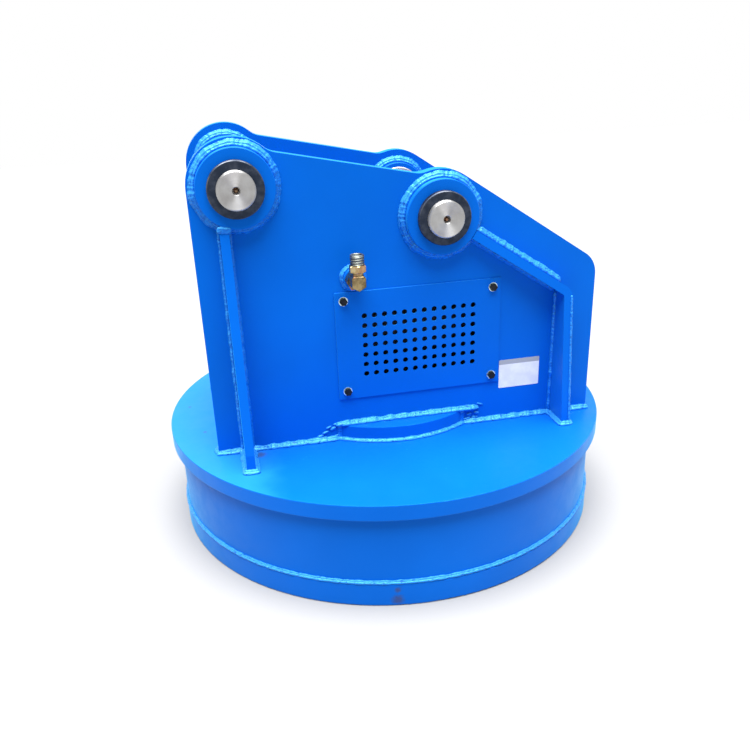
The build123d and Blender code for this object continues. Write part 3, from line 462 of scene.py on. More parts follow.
BUSH_DARK = (0.016, 0.024, 0.042)
BUSH_LIGHT = (0.042, 0.052, 0.076)
BUSH_BARE = (0.42, 0.42, 0.43)
BUSH_METALLIC = 0.85
MOTTLE = (80, 5, 0.65)
MOTTLE_CUT = (0.35, 0.7)
BUSH_GRAIN = (240, 4, 0.65)
BUSH_BUMP = (0.2, 0.3 * MM)
BUSH_GLOSS = (60, 4, 0.6)
BUSH_ROUGH = (0.38, 0.6)

# The worn rim begins and is full at these distances from the bush's edge, and the bare inner
# end is full and ends at these distances inside the plate's inner face
RIM_INSET = (1.95 * MM, 0.91 * MM)
RIM_WEAR = (32, 4, 0.7)
RIM_WEAR_CUT = (0.38, 0.66)
RIM_SHARE = 0.2
BARE_INSET = (18 * MM, 14 * MM)


def bush_steel(name, pin):
    """Oiled bush: charcoal face, light worn rim and a bare inner end."""
    shader = Shader(name, Metallic=BUSH_METALLIC)
    radius = shader.length(from_pin_axis(shader, pin))
    rim = shader.ramp(radius, *(bush_r - inset for inset in RIM_INSET))
    rim = shader.math("MULTIPLY", rim, shader.ramp(shader.noise(*RIM_WEAR), *RIM_WEAR_CUT))
    depth = shader.math("ABSOLUTE", shader.axis(shader.coords, "Y"))
    inner = shader.ramp(depth, *(plate_inner_y - inset for inset in BARE_INSET), 1.0, 0.0)
    bare = shader.math("MAXIMUM", shader.math("MULTIPLY", rim, RIM_SHARE), inner)
    colour = shader.blend(shader.ramp(shader.noise(*MOTTLE), *MOTTLE_CUT), BUSH_DARK, BUSH_LIGHT)
    colour = shader.blend(bare, colour, BUSH_BARE)
    normal = shader.bump(shader.noise(*BUSH_GRAIN), *BUSH_BUMP)
    sheen = shader.ramp(shader.noise(*BUSH_GLOSS), *WIDE_CUT, *BUSH_ROUGH)
    return shader.set(Base_Color=colour, Roughness=sheen, Normal=normal)


TARNISH = (95, 4, 0.65)
TARNISH_CUT = (0.35, 0.65)
BLUSH = (0.45, 0.2, 0.11)
BLUSHES = (48, 2, 0.5)
BLUSH_CUT = (0.5, 0.66)
BLUSH_SHARE = 0.6
PLATING_GRAIN = (300, 3, 0.6)
PLATING_BUMP = (0.12, 0.2 * MM)
PLATING_GLOSS = (120, 3, 0.6)
PLATING_ROUGH = (0.28, 0.45)


def plated(name, colour, tarnish):
    """Yellow zinc plating, tarnished in patches and with a reddish blush."""
    shader = Shader(name, Metallic=1.0)
    mixed = shader.blend(shader.ramp(shader.noise(*TARNISH), *TARNISH_CUT), colour, tarnish)
    share = shader.ramp(shader.noise(*BLUSHES), *BLUSH_CUT, 0.0, BLUSH_SHARE)
    mixed = shader.blend(share, mixed, BLUSH)
    normal = shader.bump(shader.noise(*PLATING_GRAIN), *PLATING_BUMP)
    sheen = shader.ramp(shader.noise(*PLATING_GLOSS), *WIDE_CUT, *PLATING_ROUGH)
    return shader.set(Base_Color=mixed, Roughness=sheen, Normal=normal)


def dress(node, material):
    mesh = nodes[node].data
    mesh.materials.clear()
    mesh.materials.append(material)


def dress_nodes():
    """Gives each CAD node the material of its slot in the record, then the special ones."""
    oxide = plain_finish(
        "black_oxide", (0.022, 0.025, 0.03), 0.5, grain=420, metallic=0.9, dark=0.5
    )
    finishes = {
        "blue_paint": blue_paint(),
        "bright_steel": plain_finish("bright_steel", (0.5, 0.5, 0.5), 0.3),
        "blackened_steel": oxide,
        "zinc_steel": plain_finish("zinc_steel", (0.78, 0.96, 0.94), 0.36, dark=0.9),
        "yellow_zinc": plated("yellow_zinc", (0.34, 0.26, 0.13), (0.14, 0.1, 0.05)),
        "manganese_steel": plain_finish("manganese_steel", (0.22, 0.21, 0.20), 0.5),
        "core_steel": plain_finish("core_steel", (0.20, 0.20, 0.21), 0.45),
        "aluminium_strip": plain_finish("aluminium_strip", (0.75, 0.75, 0.76), 0.35),
        "moulded_resin": plain_finish("moulded_resin", (0.42, 0.24, 0.12), 0.6, metallic=0.0),
        "generator_paint": plain_finish("generator_paint", (0.014, 0.016, 0.03), 0.5, metallic=0.0),
        "motor_iron": plain_finish("motor_iron", (0.08, 0.08, 0.085), 0.5),
        "black_sleeve": plain_finish("black_sleeve", (0.03, 0.03, 0.03), 0.6, metallic=0.0),
    }
    for part in record["subparts"]:
        dress(part["node"], finishes[part["material_slot"]])
    for hand, pin in pins.items():
        dress(f"{hand}_pin", turned_steel(f"turned_steel_{hand}", pin))
        bush = bush_steel(f"bush_steel_{hand}", pin)
        for side in SIDES:
            dress(f"{side}_{hand}_bush", bush)
    # Painted shade: the swivel nuts get a darker copy of the yellow zinc, as they sit in shade.
    dress("swivel_nuts", plated("shaded_zinc_nut", (0.26, 0.22, 0.17), (0.07, 0.065, 0.06)))
    dress("grease_nipples", plated("brown_nipple", (0.2, 0.13, 0.08), (0.06, 0.04, 0.03)))
    finishes["thread"] = plain_finish("thread_steel", (0.24, 0.26, 0.24), 0.42, dark=0.5)
    finishes["adapter"] = plated("adapter_zinc", (0.5, 0.41, 0.22), (0.32, 0.23, 0.1))
    return finishes


# Meshes


def add_mesh(name, points, faces, material, smooth=True):
    """A piece of the object, which rides on its one body."""
    mesh = bpy.data.meshes.new(name)
    mesh.from_pydata(points, [], faces)
    mesh.validate()
    if smooth:
        mesh.polygons.foreach_set("use_smooth", [True] * len(mesh.polygons))
    mesh.materials.append(material)
    piece = bpy.data.objects.new(name, mesh)
    scene.collection.objects.link(piece)
    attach(piece, "root")
    return piece


# Weld beads. A bead follows a corner between two faces. At each step of its path it has a
# section between the toes on both faces, raised into passes and rippled along the path.

BEAD_STEP = 1.2 * MM
BEAD_SINK = 0.4 * MM
SECTION_POINTS = 5
CORNER_TURN = radians(14)

# Relief of a bead: the hump of each pass, its ripples and lumps. The ripples lag, in parts of
# their pitch, on a hump's crest, from lane to lane, and by the noise that makes them wander.
PASS_H = 1.1 * MM
RIPPLE_H = 0.18 * MM
RIPPLE_PITCH = 4.2 * MM
CREST_LAG = 0.6
LANE_LAG = 0.37
WANDER_LAG = 1.4
WANDER_SCALE = 55
WANDER_LANE = 7.3
LUMP_H = 0.7 * MM
LUMP_SCALE = 190
LUMP_ACROSS = 4
LUMP_SEED = 31

# Width of a bead varies by two noises: share, scale along it and place in the noise
WIDTH_NOISES = ((0.26, 70, 3.1), (0.1, 260, 9.1))

# An open bead narrows to this share of its width, over this many legs from its end
END_WIDTH = 0.35
END_LEGS_LONG = 1.2

# How far the section is a straight chamfer and not round, and how steeply its toes rise
SECTION_FLAT = 0.45
TOE_RISE = 6


class Step:
    """One step of a bead's path: its corner point, the directions along both faces and the
    length of bead before it."""

    def __init__(self, at, a, b, along):
        self.at, self.a, self.b, self.along = at, a, b, along


def ring_path(centre, radius, axis):
    """Steps round a cylinder that stands on a face."""
    axis = Vector(axis)
    first = Vector((1, 0, 0))
    second = axis.cross(first)
    count = round(2 * pi * radius / BEAD_STEP)
    steps = []
    for i in range(count + 1):
        angle = 2 * pi * i / count
        out = cos(angle) * first + sin(angle) * second
        steps.append(Step(Vector(centre) + radius * out, out, axis, radius * angle))
    return steps


def corner_path(points, b, inside, round_r=0.0):
    """Steps along a line of corners on one flat face with the normal b. The bead lies on the
    side away from the point inside, and goes round an outer corner in small turns."""
    points = [Vector(p) for p in points]
    b = Vector(b)
    first = b.cross((points[1] - points[0]).normalized())
    side = 1 if first.dot(points[0] - Vector(inside)) > 0 else -1
    steps = []
    along = 0.0
    last = None
    for begin, end in zip(points, points[1:]):
        run = end - begin
        a = side * b.cross(run.normalized())
        if last:
            turn = -side * atan2(b.dot(last.cross(a)), last.dot(a))
            count = ceil(turn / CORNER_TURN) if turn > 0 else 0
            for i in range(1, count):
                along += round_r * turn / count
                steps.append(Step(begin, last.slerp(a, i / count), b, along))
        count = max(2, round(run.length / BEAD_STEP))
        for i in range(count + 1):
            steps.append(Step(begin + run * i / count, a, b, along + run.length * i / count))
        along += run.length
        last = a
    return steps


def bead_height(along, across, passes, seed):
    """Height of a bead's surface over its plain section, in metres."""
    lane = min(int(across * passes), passes - 1)
    hump = sqrt(max(0.0, sin(pi * (across * passes - lane))))
    wander = noise.noise(Vector((along * WANDER_SCALE, lane * WANDER_LANE, seed)))
    phase = along / RIPPLE_PITCH + CREST_LAG * hump + LANE_LAG * lane + WANDER_LAG * wander
    ripple = RIPPLE_H * (0.5 + 0.5 * cos(2 * pi * phase)) * hump
    place = Vector((along * LUMP_SCALE, across * LUMP_ACROSS, seed + LUMP_SEED))
    return PASS_H * hump + ripple + LUMP_H * noise.noise(place)


def weld_points(path, leg_a, leg_b, passes, closed, seed, flat):
    """Rows of points across the bead, one row for each step of its path, and their length."""
    columns = SECTION_POINTS * passes + 1
    length = path[-1].along
    points = []
    for step in path[:-1] if closed else path:
        width = 1
        for share, scale, place in WIDTH_NOISES:
            width += share * noise.noise(Vector((step.along * scale, place, seed)))
        if not closed:
            end = min(step.along, length - step.along) / (END_LEGS_LONG * leg_a)
            width *= END_WIDTH + (1 - END_WIDTH) * sqrt(min(1.0, max(0.0, end)))
        for j in range(columns):
            across = j / (columns - 1)
            angle = across * (pi if flat else pi / 2)
            out = step.a * cos(angle) + step.b * sin(angle)
            if flat:
                place = width * (step.a * leg_a * cos(angle) + step.b * leg_b * sin(angle))
                sunk = BEAD_SINK * step.b
            else:
                u = SECTION_FLAT * (1 - across) + (1 - SECTION_FLAT) * cos(angle)
                v = SECTION_FLAT * across + (1 - SECTION_FLAT) * sin(angle)
                place = width * (step.a * leg_a * u + step.b * leg_b * v)
                sunk = BEAD_SINK * (step.a * (across == 1) + step.b * (across == 0))
            toe = min(1.0, TOE_RISE * across, TOE_RISE * (1 - across))
            raised = toe * bead_height(step.along, across, passes, seed)
            points.append(step.at + place + raised * out - sunk)
        back = 2 * step.b if flat else step.a + step.b
        points.append(step.at - BEAD_SINK * back)
    return points, columns + 1


def weld(name, path, legs, material, passes=2, closed=False, seed=0.0, flat=False):
    """A bead along a path, its two legs on the two faces. A flat bead lies on one face, with
    the first leg to each side of the path and the second as its height."""
    points, columns = weld_points(path, legs[0] * MM, legs[1] * MM, passes, closed, seed, flat)
    rows = len(points) // columns
    faces = []
    for i in range(rows if closed else rows - 1):
        k = (i + 1) % rows
        for j in range(columns):
            n = (j + 1) % columns
            faces.append((i * columns + j, k * columns + j, k * columns + n, i * columns + n))
    if not closed:
        faces.append(tuple(range(columns)))
        faces.append(tuple((rows - 1) * columns + j for j in reversed(range(columns))))
    return add_mesh(name, points, faces, material)


# Welds of the frame, alike on both sides. Their legs are in millimetres. The numbers in their
# seeds only set the noise of one bead apart from the others.

OUTER_BOSS_LEGS = (11.5, 9)
INNER_BOSS_LEGS = (12, 9)
SOCKET_LEGS = (6.5, 5)
SHOE_LEGS = (4.4, 6.5)
DOUBLER_LEGS = (6.5, 6)


def add_boss_welds(paint):
    for side, sign in SIDES.items():
        outward, inward = (0, sign, 0), (0, -sign, 0)
        for hand, pin in pins.items():
            seed = 3 * sign + pin.x
            outer = ring_path((pin.x, sign * plate_outer_y, pin.z), outer_boss_r, outward)
            name = f"{side}_{hand}_boss_weld"
            weld(name, outer, OUTER_BOSS_LEGS, paint, passes=3, closed=True, seed=seed)
            inner = ring_path((pin.x, sign * plate_inner_y, pin.z), inner_boss_r, inward)
            name = f"{side}_{hand}_inner_weld"
            weld(name, inner, INNER_BOSS_LEGS, paint, passes=3, closed=True, seed=seed + 9)
        port = middle(f"{side}_port_elbow")
        ring = ring_path((port.x, sign * plate_outer_y, socket_z), SOCKET_R, outward)
        seed = 3 * sign + pins["right"].x + 5
        weld(f"{side}_socket_weld", ring, SOCKET_LEGS, paint, closed=True, seed=seed)


def add_pot_welds(paint):
    flange = ring_path((0, 0, shoe_high.z), wall_high.x, UP)
    weld("pole_shoe_weld", flange, SHOE_LEGS, paint, closed=True, seed=5)
    doubler = ring_path((0, 0, foot_z), doubler_high.x, UP)
    weld("doubler_weld", doubler, DOUBLER_LEGS, paint, passes=1, closed=True, seed=6)


FOOT_LEGS = (9, 8.5)
COPE_LEGS = (5, 3)
END_LEGS = (8, 8)

# How far the beads run on past the plate's ends, and past the doubler over the plate's face
FOOT_OVERRUN = 5 * MM
DOUBLER_WELD_LEFT = 8 * MM
DOUBLER_WELD_RIGHT = 34 * MM


def add_foot_welds(paint):
    """Welds of the side plates' feet to the top plate and to the doubler."""
    plate_y = (plate_outer_y + plate_inner_y) / 2
    for side, sign in SIDES.items():
        inside = (0, sign * plate_y, foot_z)
        for face, looks, y in (("outer", sign, plate_outer_y), ("inner", -sign, plate_inner_y)):
            half = sqrt(doubler_high.x**2 - y**2)
            seed = 20 * y + sign
            runs = (
                ("left_foot", plate_low.x - FOOT_OVERRUN, -half, foot_z),
                ("right_foot", half, plate_high.x + FOOT_OVERRUN, foot_z),
                ("doubler", -half - DOUBLER_WELD_LEFT, half + DOUBLER_WELD_RIGHT, doubler_high.z),
            )
            for run, x_from, x_to, z in runs:
                path = corner_path([(x_from, sign * y, z), (x_to, sign * y, z)], UP, inside)
                weld(f"{side}_{face}_{run}_weld", path, FOOT_LEGS, paint, seed=seed + x_to)
            for hand, x in (("left", -half), ("right", half)):
                line = [(x, sign * y, foot_z), (x, sign * y, doubler_high.z)]
                path = corner_path(line, (0, looks, 0), (0, sign * y, foot_z))
                name = f"{side}_{face}_{hand}_cope_weld"
                weld(name, path, COPE_LEGS, paint, passes=1, seed=seed + x, flat=True)
        for hand, x in (("left", plate_low.x), ("right", plate_high.x)):
            line = [(x, sign * plate_inner_y, foot_z), (x, sign * plate_outer_y, foot_z)]
            path = corner_path(line, UP, inside)
            weld(f"{side}_{hand}_end_weld", path, END_LEGS, paint, passes=1, seed=x + sign)


# Dabs on the plate's outer face where the beads meet at the doubler's ends: X, Z, then X, Z,
# in millimetres. Their legs take turns.
DABS = (
    (-122, 248, -136, 244),
    (-131, 239, -143, 234),
    (-140, 242, -150, 238),
    (-146, 232, -158, 228),
    (-156, 224, -168, 222),
    (-126, 222, -138, 219),
    (126, 220, 140, 223),
    (133, 229, 143, 232),
    (144, 224, 156, 222),
    (140, 242, 152, 238),
    (148, 233, 158, 231),
    (154, 252, 166, 248),
)
DAB_LEGS = ((2.2, 2.2), (3, 2.4), (1.7, 1.8))


def add_dabs(paint):
    for side, sign in SIDES.items():
        y = sign * plate_outer_y
        for i, (x_from, z_from, x_to, z_to) in enumerate(DABS):
            ends = [(x_from * MM, y, z_from * MM), (x_to * MM, y, z_to * MM)]
            path = corner_path(ends, (0, sign, 0), (0, y, foot_z))
            legs = DAB_LEGS[i % len(DAB_LEGS)]
            weld(f"{side}_dab_{i}", path, legs, paint, passes=1, seed=i + 3 * sign, flat=True)


FOOT_LOOP_LEGS = (8, 7.5)
UPRIGHT_LEGS = (5, 5)
CORNER_ROUND = 6 * MM


def add_foot_loop(name, low_x, high_x, tip, sign, paint, seed):
    """A bead round three sides of a rib's foot on the top plate."""
    y = sign * plate_outer_y
    foot = [(low_x, y, foot_z), (low_x, tip, foot_z), (high_x, tip, foot_z), (high_x, y, foot_z)]
    inside = ((low_x + high_x) / 2, (y + tip) / 2, foot_z)
    weld(name, corner_path(foot, UP, inside, CORNER_ROUND), FOOT_LOOP_LEGS, paint, seed=seed)


# Bead over the gusset's head: how far it runs past the sides, lies in from the tip, and leans
HEAD_LEGS = (6, 4)
HEAD_SIDE = 4 * MM
HEAD_INSET = 1 * MM
HEAD_RISE = 1 * MM
HEAD_DROP = 2 * MM


def add_gusset_welds(paint):
    left, right = gusset_low.x, gusset_high.x
    centre = (left + right) / 2
    for side, sign in SIDES.items():
        y = sign * plate_outer_y
        normal = (0, sign, 0)
        tip = -sign * gusset_low.y
        add_foot_loop(f"{side}_gusset_foot_weld", left, right, tip, sign, paint, 50 + sign)
        for hand, x in (("left", left), ("right", right)):
            line = [(x, y, foot_z), (x, y, gusset_high.z)]
            path = corner_path(line, normal, (centre, y, foot_z))
            name = f"{side}_gusset_{hand}_weld"
            weld(name, path, UPRIGHT_LEGS, paint, passes=1, seed=60 + sign + x)
        head_y = y + sign * (GUSSET_HEAD - HEAD_INSET)
        head = [
            (left - HEAD_SIDE, head_y, gusset_high.z + HEAD_RISE),
            (right + HEAD_SIDE, head_y, gusset_high.z - HEAD_DROP),
        ]
        path = corner_path(head, normal, (centre, head_y, foot_z))
        weld(f"{side}_gusset_head_weld", path, HEAD_LEGS, paint, seed=70 + sign, flat=True)


RIB_BEND_STEPS = 8


def rib_line(offset):
    """Corners of the bent rib on the plate in X and Z, offset from its centre line. They start
    at the right boss, turn round the bend and end at the top plate."""
    along = Vector((cos(RIB_SLOPE), -sin(RIB_SLOPE)))
    up = Vector((sin(RIB_SLOPE), cos(RIB_SLOPE)))
    pin = Vector((pins["right"].x, pins["right"].z))
    bend_x = rib_high.x - RIB_T / 2
    start = pin + up * (RIB_RISE + offset) + along * outer_boss_r
    bend = pin + up * RIB_RISE + along * ((bend_x - pin.x) / along.x)
    turn = pi / 2 - RIB_SLOPE
    setback = RIB_BEND_R * sin(turn / 2) / cos(turn / 2)
    centre = bend - along * setback - up * RIB_BEND_R
    points = [start]
    for i in range(RIB_BEND_STEPS + 1):
        angle = turn - turn * i / RIB_BEND_STEPS
        points.append(centre + (RIB_BEND_R + offset) * Vector((cos(angle), sin(angle))))
    points.append(Vector((bend_x + offset, foot_z)))
    return points


RIB_UPPER_LEGS = (11, 9)
RIB_LOWER_LEGS = (6, 6)

# Run of paint along the rib's edge: how far it lies in from the side and from its two ends
RUN_LEGS = (1.8, 1.4)
RUN_INSET = 1.2 * MM
RUN_GAP = 6 * MM


def add_rib_welds(paint):
    half = RIB_T / 2
    centre_line = rib_line(0)
    inside_top, inside_low = centre_line[0], centre_line[-1]
    edges = (("upper", half, RIB_UPPER_LEGS), ("lower", -half, RIB_LOWER_LEGS))
    for side, sign in SIDES.items():
        y = sign * plate_outer_y
        normal = (0, sign, 0)
        seed = 80 + sign
        for edge, offset, legs in edges:
            line = [(p.x, y, p.y) for p in rib_line(offset)]
            slope = corner_path(line[:2], normal, (inside_top.x, y, inside_top.y))
            weld(f"{side}_rib_{edge}_slope_weld", slope, legs, paint, seed=seed + offset)
            upright = corner_path(line[-2:], normal, (inside_low.x, y, inside_low.y))
            name = f"{side}_rib_{edge}_upright_weld"
            weld(name, upright, UPRIGHT_LEGS, paint, passes=1, seed=seed + 5 + offset)
        left, right, tip = rib_high.x - RIB_T, rib_high.x, -sign * rib_low.y
        add_foot_loop(f"{side}_rib_foot_weld", left, right, tip, sign, paint, seed + 7)
        x = right - RUN_INSET
        ends = [(x, y + sign * RIB_BEND_REACH, RIB_BEND_Z - RUN_GAP), (x, tip, foot_z + RUN_GAP)]
        path = corner_path(ends, normal, (0, y, foot_z))
        weld(f"{side}_rib_edge_run", path, RUN_LEGS, paint, passes=1, seed=seed + 9, flat=True)


DECK_LEGS = (6, 6)
HOUSING_LEGS = (6, 5)
HOUSING_FOOT_LEGS = (8, 7)


def add_housing_welds(paint):
    """Welds of the end plates and the deck between the side plates."""
    left_low, left_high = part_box("left_end_plate")
    right_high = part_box("right_end_frame")[1]
    deck_low, deck_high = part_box("folded_deck")
    low_z = right_high.z + deck_high.z - left_high.z
    ridge = (
        (deck_low.x, deck_high.z),
        (DECK_STEP_X[0], deck_high.z),
        (DECK_STEP_X[1], low_z),
        (deck_high.x, low_z),
    )
    ends = (("left", left_low.x, left_high.z), ("right", right_high.x, right_high.z))
    for side, sign in SIDES.items():
        y = sign * plate_inner_y
        inward = (0, -sign, 0)
        line = [(x, y, z) for x, z in ridge]
        path = corner_path(line, inward, (deck_low.x, y, foot_z), CORNER_ROUND)
        weld(f"{side}_deck_weld", path, DECK_LEGS, paint, passes=1, seed=90 + sign)
        for hand, x, top in ends:
            path = corner_path([(x, y, foot_z), (x, y, top)], inward, (0, y, foot_z))
            name = f"{side}_{hand}_housing_weld"
            weld(name, path, HOUSING_LEGS, paint, passes=1, seed=95 + sign + x)
    for hand, x, _ in ends:
        line = [(x, -plate_inner_y, foot_z), (x, plate_inner_y, foot_z)]
        path = corner_path(line, UP, (0, 0, foot_z))
        name = f"{hand}_housing_foot_weld"
        weld(name, path, HOUSING_FOOT_LEGS, paint, passes=1, seed=99 + x)


# Screwed fittings of the ports, which replace the plainer CAD ones

SPOKES = 72
SPOKE_ANGLES = [2 * pi * i / SPOKES for i in range(SPOKES)]
THREAD_PITCH = 4.4 * MM
THREAD_DEPTH = 1.5 * MM
THREAD_STEP = 0.3 * MM
THREAD_LEAD = 2.2 * MM
THREAD_FOOT = 1.2 * MM
MOUTH_CHAMFER = 1 * MM
HEX_CUT = 2.2 * MM
HEX_CHAMFER = 1.5 * MM
HEX_HALF_SIDE = pi / 6
HEX_MARGIN = 0.1 * MM


def thread_radius(height, top, angle):
    """Radius of the thread's surface at a height above its foot."""
    place = (height / THREAD_PITCH - angle / (2 * pi)) % 1
    depth = THREAD_DEPTH * abs(2 * place - 1)
    if height < THREAD_FOOT:
        depth = THREAD_DEPTH
    lead = max(0.0, THREAD_LEAD - (top - height))
    return THREAD_R - max(depth, lead)


def hex_radius(angle, cut):
    """Radius of a hexagon at an angle, its corners cut by a cone at both ends."""
    flat = HEX_AF / 2
    turn = (angle + HEX_HALF_SIDE) % (2 * HEX_HALF_SIDE) - HEX_HALF_SIDE
    return min(flat / cos(turn), flat / cos(HEX_HALF_SIDE) - cut)


def add_adapter(side, finishes):
    """Hexagon and hollow threaded end as one turned mesh."""
    low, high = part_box(f"{side}_port_adapter")
    centre = (low + high) / 2
    hex_low = HEX_TOP_Z - HEX_H
    hexagon = (
        (hex_low, HEX_CUT),
        (hex_low + HEX_CHAMFER, 0),
        (HEX_TOP_Z - HEX_CHAMFER, 0),
        (HEX_TOP_Z, HEX_CUT),
    )
    rows = [[(z, hex_radius(angle, cut)) for angle in SPOKE_ANGLES] for z, cut in hexagon]
    top = high.z - HEX_TOP_Z
    count = round(top / THREAD_STEP)
    for k in range(count + 1):
        height = top * k / count
        z = HEX_TOP_Z + height
        rows.append([(z, thread_radius(height, top, angle)) for angle in SPOKE_ANGLES])
    mouth = (
        (high.z, OIL_WAY_R + MOUTH_CHAMFER),
        (high.z - MOUTH_CHAMFER, OIL_WAY_R),
        (hex_low, OIL_WAY_R),
    )
    for z, radius in mouth:
        rows.append([(z, radius)] * SPOKES)
    points = []
    for row in rows:
        for angle, (z, radius) in zip(SPOKE_ANGLES, row):
            points.append((centre.x + radius * cos(angle), centre.y + radius * sin(angle), z))
    faces = []
    for k in range(len(rows)):
        n = (k + 1) % len(rows)
        for i in range(SPOKES):
            j = (i + 1) % SPOKES
            faces.append((k * SPOKES + i, k * SPOKES + j, n * SPOKES + j, n * SPOKES + i))
    name = f"{side}_threaded_adapter"
    piece = add_mesh(name, points, faces, finishes["adapter"], smooth=False)
    piece.data.materials.append(finishes["thread"])
    for face in piece.data.polygons:
        face.material_index = 1 if face.center.z > HEX_TOP_Z + HEX_MARGIN else 0
        face.use_smooth = face.material_index == 1
    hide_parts(f"{side}_port_adapter")


def stack(rings):
    """Points and faces of a closed solid through rings of as many points each."""
    size = len(rings[0])
    points = [point for ring in rings for point in ring]
    faces = [tuple(reversed(range(size)))]
    for k in range(len(rings) - 1):
        for i in range(size):
            j = (i + 1) % size
            faces.append((k * size + i, k * size + j, (k + 1) * size + j, (k + 1) * size + i))
    faces.append(tuple((len(rings) - 1) * size + i for i in range(size)))
    return points, faces


ELBOW_FRONT = 12 * MM
ELBOW_CHAMFER = 1.3 * MM
ELBOW_BEVEL = 0.7 * MM
NECK_OVERLAP = 1 * MM

# Outline of the forged elbow seen from its side plate: X and Z from the port's axis, in
# millimetres. Its front face is drawn in towards the point at the height ELBOW_MID_Z.
ELBOW_HALF_W = 12.6
ELBOW_MID_Z = 2
ELBOW_OUTLINE = (
    (0, -11.5),
    (ELBOW_HALF_W, -4),
    (ELBOW_HALF_W, 12),
    (9, 16),
    (-9, 16),
    (-ELBOW_HALF_W, 12),
    (-ELBOW_HALF_W, -4),
)


def add_elbow(side, sign, brass):
    """Forged elbow with a pointed foot, and its neck up to the adapter."""
    port = middle(f"{side}_port_adapter")
    front_y = abs(port.y) + ELBOW_FRONT
    sections = ((swivel_high.y, 0), (front_y - ELBOW_CHAMFER, 0), (front_y, ELBOW_CHAMFER))
    rings = []
    for y, inset in sections:
        shrink = 1 - inset / (ELBOW_HALF_W * MM)
        ring = []
        for x, z in ELBOW_OUTLINE:
            height = z * shrink + ELBOW_MID_Z * (1 - shrink)
            ring.append((port.x + x * MM * shrink, sign * y, socket_z + height * MM))
        rings.append(ring)
    if sign < 0:
        rings = [list(reversed(ring)) for ring in rings]
    points, faces = stack(rings)
    neck = []
    for z in (socket_z, HEX_TOP_Z - HEX_H + NECK_OVERLAP):
        neck.append([(port.x + NECK_R * cos(a), port.y + NECK_R * sin(a), z) for a in SPOKE_ANGLES])
    neck_points, neck_faces = stack(neck)
    shift = len(points)
    faces += [tuple(shift + i for i in face) for face in neck_faces]
    name = f"{side}_forged_elbow"
    piece = add_mesh(name, points + neck_points, faces, brass, smooth=False)
    bevel = piece.modifiers.new("bevel", "BEVEL")
    bevel.width = ELBOW_BEVEL
    bevel.segments = 2
    bevel.limit_method = "ANGLE"
    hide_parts(f"{side}_port_elbow")


# Plain pale field on the front side plate, with a plain grey band along its top

FIELD_X = (198.5 * MM, 282 * MM)
FIELD_Z = (279 * MM, 337.6 * MM)
FIELD_T = 0.35 * MM
FIELD_R = 2 * MM
FIELD_CORNER_POINTS = 7
FIELD_BAND = 9.75 * MM
BAND_EDGE = 0.2 * MM
FIELD_GREY = (0.64, 0.66, 0.68)
FIELD_PALE = (0.76, 0.78, 0.8)
BAND_GREY = (0.32, 0.34, 0.37)
FIELD_CLOUDS = (35, 4, 0.6)
FIELD_WAVES = (60, 3, 0.6)
FIELD_BUMP = (0.15, 0.4 * MM)
FIELD_ROUGH = 0.35


def field_film():
    shader = Shader("field_film", Roughness=FIELD_ROUGH)
    clouds = shader.ramp(shader.noise(*FIELD_CLOUDS), *WIDE_CUT)
    band_z = FIELD_Z[1] - FIELD_BAND
    height = shader.axis(shader.coords, "Z")
    band = shader.ramp(height, band_z - BAND_EDGE, band_z + BAND_EDGE)
    colour = shader.blend(band, shader.blend(clouds, FIELD_GREY, FIELD_PALE), BAND_GREY)
    normal = shader.bump(shader.noise(*FIELD_WAVES), *FIELD_BUMP)
    return shader.set(Base_Color=colour, Normal=normal)


def add_field():
    left, right = FIELD_X[0] + FIELD_R, FIELD_X[1] - FIELD_R
    low, high = FIELD_Z[0] + FIELD_R, FIELD_Z[1] - FIELD_R
    outline = []
    for quarter, (x, z) in enumerate(((right, high), (left, high), (left, low), (right, low))):
        for i in range(FIELD_CORNER_POINTS):
            angle = pi / 2 * (quarter + i / (FIELD_CORNER_POINTS - 1))
            outline.append((x + FIELD_R * cos(angle), z + FIELD_R * sin(angle)))
    rings = [[(x, y, z) for x, z in outline] for y in (-plate_outer_y, -plate_outer_y - FIELD_T)]
    points, faces = stack(rings)
    add_mesh("pale_field", points, faces, field_film(), smooth=False)


# Floor, lamp and world

SUN_STRENGTH = 10.4
SUN_ANGLE = 60
SUN_TILT = (7, -2)
SKY_STRENGTH = 0.5
FLOOR_SIZE = 14
FLOOR_DROP = 0.2 * MM
FLOOR_COLOUR = (0.31, 0.31, 0.31, 1)
FLOOR_ROUGH = 0.9


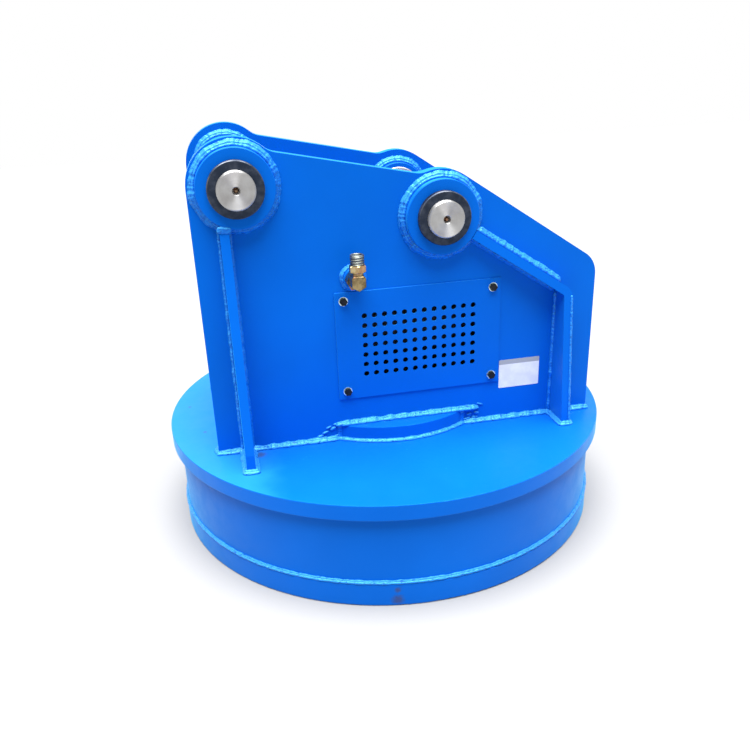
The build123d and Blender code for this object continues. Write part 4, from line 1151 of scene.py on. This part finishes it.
def seen_directly(tree):
    """1 for rays that come from the camera, a reflection or through glass."""
    path = tree.nodes.new("ShaderNodeLightPath")
    total = path.outputs["Is Camera Ray"]
    for name in ("Is Glossy Ray", "Is Transmission Ray"):
        node = tree.nodes.new("ShaderNodeMath")
        node.operation = "MAXIMUM"
        tree.links.new(total, node.inputs[0])
        tree.links.new(path.outputs[name], node.inputs[1])
        total = node.outputs[0]
    return total


def add_floor():
    shader = Shader("floor", Roughness=FLOOR_ROUGH, Specular_IOR_Level=0, Base_Color=FLOOR_COLOUR)
    half = FLOOR_SIZE / 2
    mesh = bpy.data.meshes.new("floor")
    corners = [(-half, -half, 0), (half, -half, 0), (half, half, 0), (-half, half, 0)]
    mesh.from_pydata(corners, [], [(0, 1, 2, 3)])
    mesh.materials.append(shader.material)
    floor = bpy.data.objects.new("floor", mesh)
    floor.location.z = -FLOOR_DROP
    scene.collection.objects.link(floor)


def add_lights():
    sun = bpy.data.lights.new("overhead", "SUN")
    sun.energy = SUN_STRENGTH
    sun.angle = radians(SUN_ANGLE)
    lamp = bpy.data.objects.new("overhead", sun)
    lamp.rotation_euler = (radians(SUN_TILT[0]), radians(SUN_TILT[1]), 0)
    scene.collection.objects.link(lamp)
    world = bpy.data.worlds.new("world")
    scene.world = world
    world.use_nodes = True
    tree = world.node_tree
    background = tree.nodes["Background"]
    background.inputs["Color"].default_value = (1, 1, 1, 1)
    strength = tree.nodes.new("ShaderNodeMapRange")
    strength.inputs["To Min"].default_value = SKY_STRENGTH
    tree.links.new(seen_directly(tree), strength.inputs["Value"])
    tree.links.new(strength.outputs[0], background.inputs["Strength"])


add_camera()
add_floor()
add_lights()
finishes = dress_nodes()
weld_material = weld_paint()
add_boss_welds(weld_material)
add_pot_welds(weld_material)
add_foot_welds(weld_material)
add_dabs(weld_material)
add_gusset_welds(weld_material)
add_rib_welds(weld_material)
add_housing_welds(weld_material)
for side, sign in SIDES.items():
    add_adapter(side, finishes)
    add_elbow(side, sign, finishes["yellow_zinc"])
add_field()

scene.view_settings.view_transform = "Standard"
